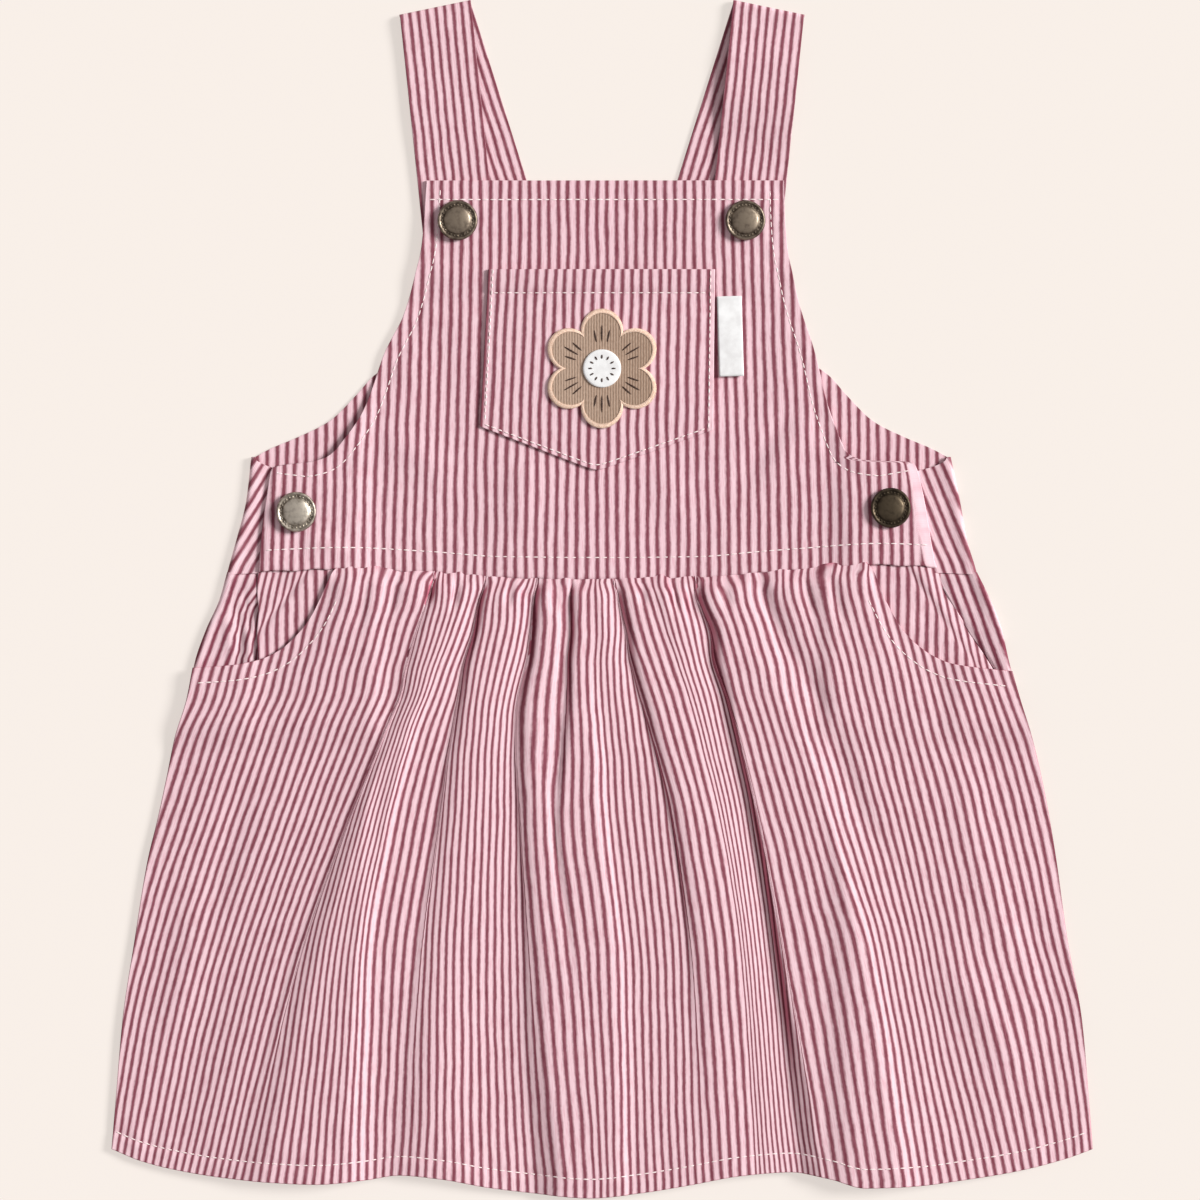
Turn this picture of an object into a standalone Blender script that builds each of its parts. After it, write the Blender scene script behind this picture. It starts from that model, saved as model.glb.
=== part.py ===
"""Pinafore dress of striped cotton twill, laid flat with its front up.

The dress lies on the XY plane with its strap folds at +Y, its hem at -Y and its front facing +Z.
The back panels rest on the surface and wrap round both sides to the front. The front panels, the
pocket facings and the folded straps lie on them, a seam's gap apart. Tables are in millimetres.
"""
import math
from collections import namedtuple

import bmesh
import bpy
import numpy as np

MM = 0.001

# --- driving dimensions, mm ---------------------------------------------------------------------
WALL = 1.2              # cloth with its turnings
GAP = 0.3               # between neighbouring pieces
LAYER = WALL + GAP      # rise from one layer of cloth to the next
FLOOR_MID = WALL / 2    # middle of the layer that rests on the surface

WAIST_Y = 11.2          # back waist seam
BACK_TOP_Y = 117.8      # top edge of the back bodice
HIP_FLAP_END = -37.0    # where the back skirt stops wrapping round the hip
FLAP_FOLD_R = 1.1       # radius of the rolled side folds, middle of the wall
FLAP_SETTLE = 5.0       # a wrapped side drops to its layer over this distance

STRAP_W = 30.2
STRAP_FOLD = (-69.8, 246.5)         # middle of the left shoulder fold
STRAP_FRONT_LEAN = math.radians(6.0)
STRAP_BACK_LEAN = math.radians(17.5)
STRAP_FRONT_END_Y = 141.0           # behind the bib
STRAP_FOLD_R = 1.2
STRAP_SETTLE = 22.0                 # the front layer drops to its level over this distance

SNAP_R = 8.4
SNAP_H = 3.4
SNAP_STEPS = 20

FLOWER_AT = (0.0, 96.4)
FLOWER_R = 25.0
FLOWER_PETALS = 6
FLOWER_THICK = 1.0
FLOWER_CENTRE_R = 8.0

TAB_SIZE = (10.2, 33.6)
TAB_AT = (53.6, 110.0)
TAB_THICK = 1.0
TAB_TILT = math.radians(1.6)

POCKET_TOP_Y = 138.0
POCKET_LEFT = (-47.6, -51.2)        # x at the top and at the lower corner
POCKET_RIGHT = (47.4, 46.6)
POCKET_LOW_SHARES = ((0.0, 72.2), (0.5, 54.0), (1.0, 70.8))     # share of the width, y of the lower edge

# --- tables, mm ---------------------------------------------------------------------------------
Side = namedtuple("Side", "y left right")
SKIRT_SIDES = [         # silhouette of the skirt, waist to hem
    Side(11, -157.5, 157.5), Side(-1, -160.9, 163.4), Side(-13, -166.3, 168.0), Side(-26, -170.9, 170.9),
    Side(-43, -174.4, 175.6), Side(-59, -179.4, 180.6), Side(-76, -182.9, 184.6), Side(-93, -186.6, 187.9),
    Side(-110, -190.7, 190.7), Side(-143, -196.1, 195.3), Side(-177, -201.2, 201.4), Side(-211, -204.1, 204.3),
    Side(-231, -205.8, 205.8),
]
BACK_SIDES = [          # silhouette of the bodice, side folds of the back panel
    Side(11, -157.5, 157.5), Side(25, -153.5, 153.3), Side(41, -149.5, 150.4), Side(59, -147.4, 146.6),
]

Edge = namedtuple("Edge", "x y")
HEM = [Edge(-206, -230.9), Edge(-194, -235.8), Edge(-183, -238.8), Edge(-162, -242.5), Edge(-141, -244.6),
       Edge(-120, -245.5), Edge(-99, -243.8), Edge(-85, -241.9), Edge(-68, -243.4), Edge(-47, -247.2),
       Edge(-26, -249.7), Edge(-5, -251.3), Edge(16, -249.3), Edge(37, -245.9), Edge(58, -242.1),
       Edge(79, -240.6), Edge(96, -243.4), Edge(110, -247.0), Edge(131, -246.3), Edge(152, -243.8),
       Edge(173, -240.4), Edge(194, -235.2), Edge(206, -230.9)]
WAIST = [Edge(-145, 11.5), Edge(-108, 12.8), Edge(-72, 11.1), Edge(-43, 9.0), Edge(0, 8.6), Edge(41, 9.0),
         Edge(66, 11.1), Edge(83, 12.4), Edge(117, 14.5), Edge(141, 13.7)]
MOUTH_LEFT = [Edge(-171, -29.0), Edge(-155, -27.9), Edge(-144, -25.8), Edge(-135, -21.6), Edge(-126, -13.2),
              Edge(-121, -6.1), Edge(-117, 2.3), Edge(-112, 12.2)]
MOUTH_RIGHT = [Edge(112, 14.0), Edge(118, 1.1), Edge(125, -11.5), Edge(131, -18.3), Edge(140, -24.6),
               Edge(148, -27.5), Edge(164, -29.6), Edge(172.4, -30.4)]
BACK_ARMHOLE = [Edge(-147.4, 59.4), Edge(-141, 62.8), Edge(-129, 67.8), Edge(-116, 74.3), Edge(-104, 85.8),
                Edge(-97, 93.5), Edge(-88, 99.3), Edge(-78, 103.7), Edge(-66, 109.4), Edge(-50, BACK_TOP_Y)]

Row = namedtuple("Row", "left_x left_y right_x right_y")
BODICE_ROWS = [         # the bib and wings, row by row from just above the waist seam to the bib's top
    Row(-143.4, 20.0, 138.6, 21.0), Row(-142.4, 31.0, 136.9, 31.0), Row(-140.6, 43.0, 134.2, 46.0),
    Row(-138.2, 54.8, 130.2, 56.9), Row(-124.3, 56.9, 116.8, 57.4), Row(-116.3, 59.0, 107.5, 58.6),
    Row(-112.6, 61.5, 102.5, 61.5), Row(-108.4, 66.6, 100.0, 66.6), Row(-104.6, 71.6, 98.1, 71.6),
    Row(-100.2, 78.8, 95.5, 78.8), Row(-97.0, 86.7, 93.2, 86.7), Row(-94.3, 94.5, 91.5, 94.5),
    Row(-91.6, 102.3, 89.6, 102.3), Row(-88.0, 109.6, 87.4, 109.6), Row(-83.8, 117.6, 84.6, 117.6),
    Row(-80.8, 126.6, 82.0, 126.6), Row(-78.4, 135.9, 80.0, 135.9), Row(-76.0, 146.0, 77.9, 146.0),
    Row(-74.8, 156.9, 76.9, 156.9), Row(-74.2, 166.0, 76.5, 166.0), Row(-73.6, 175.3, 76.3, 175.3),
]

# Lines of cloth that the skirt's folds follow. cut is the place across the flat cut panel. The next six
# columns are where that line lies, from waist to hem, so cloth that finds no room goes into the flank.
# left and right are the heights of the cloth beside the flank, at mid skirt and at the hem.
Fold = namedtuple("Fold", "cut waist hip high mid low hem flank_waist flank_hem "
                          "left_mid right_mid left_hem right_hem dip")
FOLD_LEVELS = (9.9, -17.4, -51.0, -93.0, -151.8, -244.2)
FOLDS = [
    Fold(-222, -150, -155, -166, -177, -195, -216, 6, 12, 1.2, 1.4, 0.9, 1.2, 0.0),
    Fold(-139, -70, -78, -89, -106, -127, -150, 6, 20, 2.4, 5.2, 2.0, 4.6, 0.8),
    Fold(-87, -56, -64, -77, -89, -99, -102, 6, 14, 5.2, 2.2, 4.8, 2.0, 0.5),
    Fold(-64, -46, -52, -61, -68, -76, -82, 5, 16, 1.8, 3.8, 1.8, 3.0, 2.6),
    Fold(0, -25, -28, -35, -34, -30, -22, 5, 12, 2.2, 4.4, 1.4, 4.8, 2.8),
    Fold(17, -12, -12, -14, -19, -10, -4, 4, 9, 3.2, 5.4, 4.6, 5.0, 2.6),
    Fold(34, -3, -3, -2, 0, 6, 8, 5, 16, 5.0, 2.4, 5.2, 2.6, 0.4),
    Fold(77, 9, 13, 21, 30, 38, 44, 5, 12, 1.8, 4.4, 2.6, 3.0, 2.0),
    Fold(98, 21, 28, 38, 49, 58, 64, 4, 9, 3.8, 3.0, 2.8, 2.4, 0.3),
    Fold(152, 37, 44, 56, 66, 77, 93, 6, 17, 1.2, 8.2, 1.0, 9.6, 2.8),
    Fold(181, 66, 73, 82, 94, 110, 121, 7, 18, 6.0, 3.2, 6.4, 3.2, 2.0),
    Fold(270, 155, 161, 167, 176, 181, 213, 6, 12, 1.4, 1.2, 1.2, 0.9, 0.0),
]
FLANK_SPREAD = 1.6      # the flanks widen as this power of the drop below the waist
FLANK_ROOM = 0.62       # share of the way to the next line that a flank takes at most
RISE_START = 0.2        # share of a flank that lies left of its line, where it rises to the right
FALL_START = 0.5        # and where it falls to the right
GATHER_DROP = 16.0      # the gathers swell out over this distance below the waist seam
GATHER_FADE = 75.0      # and their narrow valleys have run out this far below it
WAIST_PUFF = 2.9        # height of the cloth between gathers, just below the seam

Stud = namedtuple("Stud", "name x y")
STUDS = [Stud("bib_snap_left", -60.5, 158.5), Stud("bib_snap_right", 60.1, 158.5),
         Stud("side_snap_left", -128.1, 36.3), Stud("side_snap_right", 121.0, 38.0)]

Finish = namedtuple("Finish", "red green blue roughness metallic")
TWILL = Finish(0.60, 0.35, 0.40, 0.85, 0.0)
TWILL_BACK = Finish(0.52, 0.28, 0.33, 0.85, 0.0)
FELT = Finish(0.45, 0.31, 0.23, 0.9, 0.0)
COTTON_WHITE = Finish(0.86, 0.85, 0.83, 0.9, 0.0)
ANTIQUE_BRASS = Finish(0.32, 0.25, 0.18, 0.35, 1.0)


# --- numbers ------------------------------------------------------------------------------------
def smooth_curve(keys, values):
    """Return a monotone cubic through the points, so that it never swings past them."""
    keys = np.asarray(keys, float)
    values = np.asarray(values, float)
    steps = np.diff(keys)
    slopes = np.diff(values) / steps
    tangents = np.zeros(len(keys))
    turning = slopes[:-1] * slopes[1:] <= 0
    safe = np.where(turning, 1.0, slopes[:-1] + slopes[1:])
    tangents[1:-1] = np.where(turning, 0.0, 2.0 * slopes[:-1] * slopes[1:] / safe)
    tangents[0] = slopes[0]
    tangents[-1] = slopes[-1]

    def value(at):
        at = np.clip(np.asarray(at, float), keys[0], keys[-1])
        i = np.clip(np.searchsorted(keys, at, side="right") - 1, 0, len(steps) - 1)
        t = (at - keys[i]) / steps[i]
        h = steps[i]
        return ((2 * t**3 - 3 * t**2 + 1) * values[i] + (t**3 - 2 * t**2 + t) * h * tangents[i]
                + (3 * t**2 - 2 * t**3) * values[i + 1] + (t**3 - t**2) * h * tangents[i + 1])

    return value


def ramp(at, start, end):
    """Return 0 before start, 1 after end, and a soft step between them."""
    t = min(1.0, max(0.0, (at - start) / (end - start)))
    return t * t * (3.0 - 2.0 * t)


def bell(distance, width):
    return np.exp(-4.0 * (distance / width) ** 2)


def side_curves(table):
    rows = sorted(table)
    heights = [row.y for row in rows]
    return smooth_curve(heights, [row.left for row in rows]), smooth_curve(heights, [row.right for row in rows])


def edge_curve(table):
    return smooth_curve([point.x for point in table], [point.y for point in table])


skirt_left, skirt_right = side_curves(SKIRT_SIDES)
back_left, back_right = side_curves(BACK_SIDES)
hem_y = edge_curve(HEM)
waist_y = edge_curve(WAIST)
armhole_y = edge_curve(BACK_ARMHOLE)
skirt_top_y = edge_curve(MOUTH_LEFT + [Edge(x, float(waist_y(x)) - GAP) for x in (-108, -72, -43, 0, 41, 66, 83)]
                         + MOUTH_RIGHT)


# --- the folds of the front skirt ---------------------------------------------------------------
def column(name):
    return np.array([getattr(fold, name) for fold in FOLDS], float)


def line_values(names, levels):
    """Return a function of y that gives one value for each fold line, from its columns at those levels."""
    table = np.array([column(name) for name in names[::-1]])
    curves = [smooth_curve(levels[::-1], values) for values in table.T]
    return lambda y: np.array([float(curve(y)) for curve in curves])


fold_cut = column("cut")
fold_dip = column("dip")
fold_x = line_values(("waist", "hip", "high", "mid", "low", "hem"), FOLD_LEVELS)


def fold_flank(y):
    """Return the width of each flank at y."""
    narrow, wide = column("flank_waist"), column("flank_hem")
    drop = max(0.0, (FOLD_LEVELS[0] - y) / (FOLD_LEVELS[0] - FOLD_LEVELS[-1]))
    return narrow + (wide - narrow) * drop**FLANK_SPREAD


def fold_heights(y):
    """Return the cloth's height left and right of each flank, at y."""
    waist, mid, hem = (-FOLD_LEVELS[i] for i in (0, 3, 5))
    sides = []
    for side in ("left", "right"):
        low = column(side + "_mid") + (column(side + "_hem") - column(side + "_mid")) * ramp(-y, mid, hem)
        sides.append(WAIST_PUFF + (low - WAIST_PUFF) * ramp(-y, waist, mid))
    return sides


def cloth_across(y):
    """Return places x across the skirt at y, and the cut panel's own coordinate at each of them."""
    x = np.arange(-235.0, 235.5, 0.5)
    lines = fold_x(y)
    widths = fold_flank(y)
    density = np.ones(len(x))
    for i in range(len(FOLDS) - 1):
        inside = (x >= lines[i]) & (x < lines[i + 1])
        room = lines[i + 1] - lines[i]
        spare = fold_cut[i + 1] - fold_cut[i] - room
        if spare < 0:
            density[inside] = 1.0 + spare / room
            continue
        pull = bell(x - lines[i], widths[i]) + bell(x - lines[i + 1], widths[i + 1])
        density[inside] += spare * (pull / (np.sum(pull[inside]) * 0.5))[inside]
    cut = np.concatenate(([0.0], np.cumsum((density[1:] + density[:-1]) * 0.25)))
    return x, cut - np.interp(lines[list(fold_cut).index(0.0)], x, cut)


def fold_height(x, y):
    """Return the height of the folded cloth above its resting level, at (x, y)."""
    lines = fold_x(y)
    room = np.diff(lines)
    widths = fold_flank(y)
    widths[:-1] = np.minimum(widths[:-1], FLANK_ROOM * room)
    widths[1:] = np.minimum(widths[1:], FLANK_ROOM * room)
    left, right = fold_heights(y)
    keys = [float(skirt_left(y)) - 0.1]
    heights = [0.0]
    for i in range(1, len(FOLDS) - 1):
        before = RISE_START if right[i] > left[i] else FALL_START
        start = lines[i] - before * widths[i]
        keys += [start, start + widths[i]]
        heights += [left[i], right[i]]
    keys.append(float(skirt_right(y)) + 0.1)
    heights.append(0.0)
    height = float(smooth_curve(keys, heights)(x))
    seam = float(skirt_top_y(x))
    gathers = 1.0 - ramp(seam - y, 0.0, GATHER_FADE)
    height -= gathers * float(np.max(fold_dip * bell(x - lines, widths)))
    return max(0.0, height) * ramp(seam - y, 0.0, GATHER_DROP)


# --- levels of the front layers, middle of the wall ---------------------------------------------
def bodice_mid(x, y):
    """The front bodice lies on the back, and a layer higher on the wrapped sides and the strap ends."""
    over_flap = ramp(abs(x), 92.0, 106.0)
    over_strap = ramp(y, STRAP_FRONT_END_Y - 19.0, STRAP_FRONT_END_Y - 3.0)
    return FLOOR_MID + LAYER + LAYER * max(over_flap, over_strap)


def skirt_mid(x, y):
    """The front skirt lies on the back, and a layer higher on the pocket facings and hip flaps."""
    over_facing = LAYER * ramp(abs(x), 88.0, 98.0)
    over_hip_fold = (2 * FLAP_FOLD_R - LAYER + 0.2) * ramp(abs(x), 140.0, 152.0)
    return FLOOR_MID + LAYER + (over_facing + over_hip_fold) * ramp(y, -66.0, -50.0) + fold_height(x, y)


# --- making things ------------------------------------------------------------------------------
def clear_scene():
    for thing in list(bpy.data.objects):
        bpy.data.objects.remove(thing)


def material(name, finish):
    made = bpy.data.materials.get(name)
    if made is None:
        made = bpy.data.materials.new(name)
        made.use_nodes = True
        shader = made.node_tree.nodes["Principled BSDF"]
        shader.inputs["Base Color"].default_value = (finish.red, finish.green, finish.blue, 1.0)
        shader.inputs["Roughness"].default_value = finish.roughness
        shader.inputs["Metallic"].default_value = finish.metallic
    return made


def finish_object(name, bm, finish_name, finish, collection):
    """Turn the bmesh, modelled in millimetres, into a named object in metres."""
    bmesh.ops.scale(bm, vec=(MM, MM, MM), verts=bm.verts)
    mesh = bpy.data.meshes.new(name)
    bm.to_mesh(mesh)
    bm.free()
    mesh.shade_smooth()
    thing = bpy.data.objects.new(name, mesh)
    thing.data.materials.append(material(finish_name, finish))
    collection.objects.link(thing)
    return thing


def give_wall(thing, thickness=WALL):
    """Thicken an open sheet evenly to both sides."""
    wall = thing.modifiers.new("Wall", "SOLIDIFY")
    wall.thickness = thickness * MM
    wall.offset = 0.0


def cloth_grid(columns, rows, place):
    """Return a sheet and its rows of vertices. place puts each share (across, up) somewhere, in mm."""
    bm = bmesh.new()
    made = bmesh.ops.create_grid(bm, x_segments=columns, y_segments=rows, size=0.5)["verts"]
    grid = [[None] * (columns + 1) for _ in range(rows + 1)]
    for vert in made:
        across, up = vert.co.x + 0.5, vert.co.y + 0.5
        grid[round(up * rows)][round(across * columns)] = vert
        vert.co = place(across, up)
    return bm, grid


def wrap_side(bm, side_verts, width_at, fall=0.0, lift=0.0):
    """Roll a flat panel's side edge up and over, and lay it inward on the panel.

    side_verts run up the edge. width_at gives how far the cloth comes in at a height y. Once it has come
    all the way in, its top is lower by fall, a share of the edge's height, and its foot higher by lift.
    """
    outward = 1.0 if side_verts[0].co.x > 0 else -1.0
    base_y = side_verts[0].co.y
    height = side_verts[-1].co.y - base_y
    start = [(vert.co.x, vert.co.y) for vert in side_verts]
    rim = list(side_verts)
    steps = [(math.radians(turn), 0.0) for turn in (45, 90, 135, 180)]
    steps += [(math.pi, share) for share in (0.15, 0.4, 0.7, 1.0)]
    for turn, share in steps:
        edges = [bm.edges.get(pair) for pair in zip(rim[:-1], rim[1:])]
        made = bmesh.ops.extrude_edge_only(bm, edges=edges)["geom"]
        rim = sorted((item for item in made if isinstance(item, bmesh.types.BMVert)), key=lambda v: v.co.y)
        for vert, (x, y) in zip(rim, start):
            run = share * width_at(y)
            drop = (2 * FLAP_FOLD_R - LAYER) * ramp(run, 0.0, FLAP_SETTLE)
            vert.co.x = x + outward * (FLAP_FOLD_R * math.sin(turn) - run)
            up = (y - base_y) / height
            vert.co.y = y - fall * height * math.sqrt(share) * up + lift * share * (1 - up)
            vert.co.z = FLOOR_MID + FLAP_FOLD_R * (1 - math.cos(turn)) - drop


# --- the pieces ---------------------------------------------------------------------------------
def build_back_skirt(collection):
    columns, rows = 22, 16
    inset = FLAP_FOLD_R + WALL / 2

    def place(across, up):
        share = 2 * across - 1
        low = float(hem_y(share * float(skirt_right(-231)))) + 1.5
        y = low + up * (WAIST_Y - GAP - low)
        side = skirt_right(y) if share > 0 else -skirt_left(y)
        return share * (float(side) - inset), y, FLOOR_MID

    bm, grid = cloth_grid(columns, rows, place)
    width_at = smooth_curve((HIP_FLAP_END, -28.0, WAIST_Y), (13.0, 14.5, 10.5))
    for column in (0, columns):
        hip = [row[column] for row in grid if row[column].co.y > HIP_FLAP_END]
        wrap_side(bm, hip, lambda y: float(width_at(y)))
    give_wall(finish_object("back_skirt", bm, "twill_back", TWILL_BACK, collection))


def build_back_bodice(collection):
    columns, rows = 34, 9
    inset = FLAP_FOLD_R + WALL / 2

    def place(across, up):
        share = 2 * across - 1
        nominal = abs(share) * -float(back_left(60))
        top = float(armhole_y(-nominal))
        y = WAIST_Y + up * (top - WAIST_Y)
        side = back_right(y) if share > 0 else -back_left(y)
        return share * (float(side) - inset), y, FLOOR_MID

    bm, grid = cloth_grid(columns, rows, place)
    width_at = smooth_curve((WAIST_Y, 60.0), (38.0, 34.0))
    for column in (0, columns):
        wrap_side(bm, [row[column] for row in grid], lambda y: float(width_at(y)), fall=0.2, lift=7.0)
    give_wall(finish_object("back_bodice", bm, "twill_back", TWILL_BACK, collection))


def build_front_skirt(collection):
    columns, rows = 96, 16
    boundary = {}
    for side, x_run in (("top", np.linspace(-171.0, 172.4, 500)), ("hem", np.linspace(-205.8, 205.8, 500))):
        y_run = (skirt_top_y if side == "top" else hem_y)(x_run)
        cuts = []
        for x, y in zip(x_run, y_run):
            places, cut = cloth_across(y)
            cuts.append(float(np.interp(x, places, cut)))
        boundary[side] = (np.array(cuts), x_run, y_run)

    def corner(side, across):
        cuts, x_run, y_run = boundary[side]
        cut = cuts[0] + across * (cuts[-1] - cuts[0])
        return cut, float(np.interp(cut, cuts, x_run)), float(np.interp(cut, cuts, y_run))

    def place(across, up):
        hem_cut, _, low = corner("hem", across)
        top_cut, _, top = corner("top", across)
        y = low + up * (top - low)
        cut = hem_cut + up * (top_cut - hem_cut)
        places, cuts = cloth_across(y)
        x = float(np.interp(cut, cuts, places))
        for edge, side in ((0.0, skirt_left), (1.0, skirt_right)):
            near = ramp(1.0 - abs(across - edge) / 0.12, 0.0, 1.0)
            edge_y = corner("hem", edge)[2] + up * (corner("top", edge)[2] - corner("hem", edge)[2])
            edge_cut = corner("hem", edge)[0] + up * (corner("top", edge)[0] - corner("hem", edge)[0])
            places, cuts = cloth_across(edge_y)
            x += near * (float(side(edge_y)) - float(np.interp(edge_cut, cuts, places)))
        return x, y, skirt_mid(x, y)

    bm, _ = cloth_grid(columns, rows, place)
    give_wall(finish_object("front_skirt", bm, "twill", TWILL, collection))


def build_front_bodice(collection):
    columns = 26
    rows = len(BODICE_ROWS)

    def place(across, up):
        index = round(up * rows)
        if index == 0:
            first = BODICE_ROWS[0]
            x = (first.left_x - 0.7) + across * (first.right_x - first.left_x + 2.4)
            return x, float(waist_y(x)), bodice_mid(x, float(waist_y(x)))
        row = BODICE_ROWS[index - 1]
        x = row.left_x + across * (row.right_x - row.left_x)
        y = row.left_y + across * (row.right_y - row.left_y)
        return x, y, bodice_mid(x, y)

    bm, _ = cloth_grid(columns, rows, place)
    give_wall(finish_object("front_bodice", bm, "twill", TWILL, collection))


def build_hip_facing(name, side, collection):
    """The facing fills the pocket mouth from below, and runs on under the skirt's edge."""
    columns, rows = 8, 8
    slit, hidden_in = 142.0, 98.0

    def place(across, up):
        x = side * (slit + across * (hidden_in - slit))
        low = -37.0 + 9.0 * across
        top = float(waist_y(x)) - GAP
        y = low + up * (top - low)
        return x, y, FLOOR_MID + LAYER

    bm, _ = cloth_grid(columns, rows, place)
    bmesh.ops.recalc_face_normals(bm, faces=bm.faces)
    give_wall(finish_object(name, bm, "twill", TWILL, collection))


def build_strap(name, side, collection):
    """One band of cloth, folded over at the shoulder: its back part leans in further than its front."""
    columns, rows_back, rows_fold, rows_front = 5, 7, 6, 6
    rows = rows_back + rows_fold + rows_front
    tilt = (STRAP_FRONT_LEAN + STRAP_BACK_LEAN) / 2
    skew = (STRAP_BACK_LEAN - STRAP_FRONT_LEAN) / 2
    down = (math.sin(tilt), -math.cos(tilt))
    along = (math.cos(tilt), math.sin(tilt))
    mid_y = STRAP_FOLD[1]

    def spot(across, reach, front):
        """Return (x, y) on one layer, reach mm from the fold line."""
        lean = -1.0 if front else 1.0
        shift = (across - 0.5) * STRAP_W / math.cos(skew) + lean * reach * math.tan(skew)
        return (STRAP_FOLD[0] + along[0] * shift + down[0] * reach,
                mid_y + along[1] * shift + down[1] * reach)

    def reach_to(across, front, end_y):
        """Return how far from the fold line a layer meets the level end_y."""
        y0, y1 = spot(across, 0.0, front)[1], spot(across, 1.0, front)[1]
        return (end_y - y0) / (y1 - y0)

    def place(across, up):
        row = round(up * rows)
        if row < rows_back:
            end = reach_to(across, False, BACK_TOP_Y + GAP)
            x, y = spot(across, end * (1 - row / rows_back), False)
            z = FLOOR_MID
        elif row <= rows_back + rows_fold:
            turn = math.pi * (row - rows_back) / rows_fold
            x, y = spot(across, -STRAP_FOLD_R * math.sin(turn), turn > math.pi / 2)
            z = FLOOR_MID + STRAP_FOLD_R * (1 - math.cos(turn))
        else:
            end = reach_to(across, True, STRAP_FRONT_END_Y)
            reach = end * ((row - rows_back - rows_fold) / rows_front) ** 1.3
            x, y = spot(across, reach, True)
            drop = (2 * STRAP_FOLD_R - LAYER) * ramp(reach, 0.0, STRAP_SETTLE)
            z = FLOOR_MID + 2 * STRAP_FOLD_R - drop
        return -side * x, y, z

    bm, _ = cloth_grid(columns, rows, place)
    bmesh.ops.recalc_face_normals(bm, faces=bm.faces)
    give_wall(finish_object(name, bm, "twill", TWILL, collection))


def build_chest_pocket(collection):
    columns, rows = 14, 9
    low = smooth_curve([point[0] for point in POCKET_LOW_SHARES], [point[1] for point in POCKET_LOW_SHARES])

    def place(across, up):
        bottom = float(low(across))
        y = bottom + up * (POCKET_TOP_Y - bottom)
        drop = (POCKET_TOP_Y - y) / (POCKET_TOP_Y - POCKET_LOW_SHARES[0][1])
        left = POCKET_LEFT[0] + (POCKET_LEFT[1] - POCKET_LEFT[0]) * min(1.0, drop)
        right = POCKET_RIGHT[0] + (POCKET_RIGHT[1] - POCKET_RIGHT[0]) * min(1.0, drop)
        x = left + across * (right - left)
        return x, y, bodice_mid(x, y) + LAYER

    bm, _ = cloth_grid(columns, rows, place)
    give_wall(finish_object("chest_pocket", bm, "twill", TWILL, collection))


def build_side_tab(collection):
    """A folded white tab, sewn in the pocket's right seam, which lies on the bib."""
    def place(across, up):
        x, y = (across - 0.5) * TAB_SIZE[0], (up - 0.5) * TAB_SIZE[1]
        x, y = (x * math.cos(TAB_TILT) - y * math.sin(TAB_TILT), x * math.sin(TAB_TILT) + y * math.cos(TAB_TILT))
        x, y = x + TAB_AT[0], y + TAB_AT[1]
        return x, y, bodice_mid(x, y) + (WALL + TAB_THICK) / 2 + GAP

    bm, _ = cloth_grid(3, 8, place)
    give_wall(finish_object("side_tab", bm, "cotton_white", COTTON_WHITE, collection), TAB_THICK)


def flat_patch(name, radius_at, steps, base_z, finish_name, finish, collection):
    """Cut a patch whose outline is a radius for each direction, and give it its thickness."""
    bm = bmesh.new()
    bmesh.ops.create_circle(bm, cap_ends=True, segments=steps, radius=1.0)
    for vert in bm.verts:
        direction = math.atan2(vert.co.y, vert.co.x)
        radius = radius_at(direction)
        vert.co = (FLOWER_AT[0] + radius * math.cos(direction), FLOWER_AT[1] + radius * math.sin(direction),
                   base_z + FLOWER_THICK / 2)
    give_wall(finish_object(name, bm, finish_name, finish, collection), FLOWER_THICK)


def build_flower(collection):
    """A six-petalled flower with a round centre, sewn on the pocket."""
    def petals(direction):
        lobe = abs(math.cos(FLOWER_PETALS / 2 * (direction - math.pi / 2)))
        return FLOWER_R * (0.68 + 0.32 * lobe ** 0.7)

    pocket_top = bodice_mid(*FLOWER_AT) + LAYER + WALL / 2
    flat_patch("flower_applique", petals, 20 * FLOWER_PETALS, pocket_top + GAP, "felt", FELT, collection)
    flat_patch("flower_centre", lambda _: FLOWER_CENTRE_R, 32, pocket_top + 2 * GAP + FLOWER_THICK,
               "cotton_white", COTTON_WHITE, collection)


def build_snap(stud, collection):
    """A domed press-stud cap with a rolled rim, turned round its own axis."""
    profile = [(0.0, 1.0), (0.55, 0.93), (0.72, 0.78), (0.78, 0.72), (0.9, 0.8), (1.0, 0.5), (0.94, 0.12),
               (0.8, 0.0), (0.0, 0.0)]
    bm = bmesh.new()
    verts = [bm.verts.new((share * SNAP_R, 0.0, height * SNAP_H)) for share, height in profile]
    for pair in zip(verts[:-1], verts[1:]):
        bm.edges.new(pair)
    snap = finish_object(stud.name, bm, "antique_brass", ANTIQUE_BRASS, collection)
    turn = snap.modifiers.new("Turn", "SCREW")
    turn.steps = turn.render_steps = SNAP_STEPS
    turn.use_merge_vertices = True
    turn.merge_threshold = 1e-5
    base = bodice_mid(stud.x, stud.y) + WALL / 2 + GAP
    snap.location = (stud.x * MM, stud.y * MM, base * MM)


def main():
    clear_scene()
    collection = bpy.data.collections.new("pinafore_dress")
    bpy.context.scene.collection.children.link(collection)
    build_back_skirt(collection)
    build_back_bodice(collection)
    build_front_skirt(collection)
    build_front_bodice(collection)
    for name, side in (("left", -1.0), ("right", 1.0)):
        build_hip_facing(f"hip_facing_{name}", side, collection)
        build_strap(f"strap_{name}", side, collection)
    build_chest_pocket(collection)
    build_side_tab(collection)
    build_flower(collection)
    for stud in STUDS:
        build_snap(stud, collection)


main()
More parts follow.
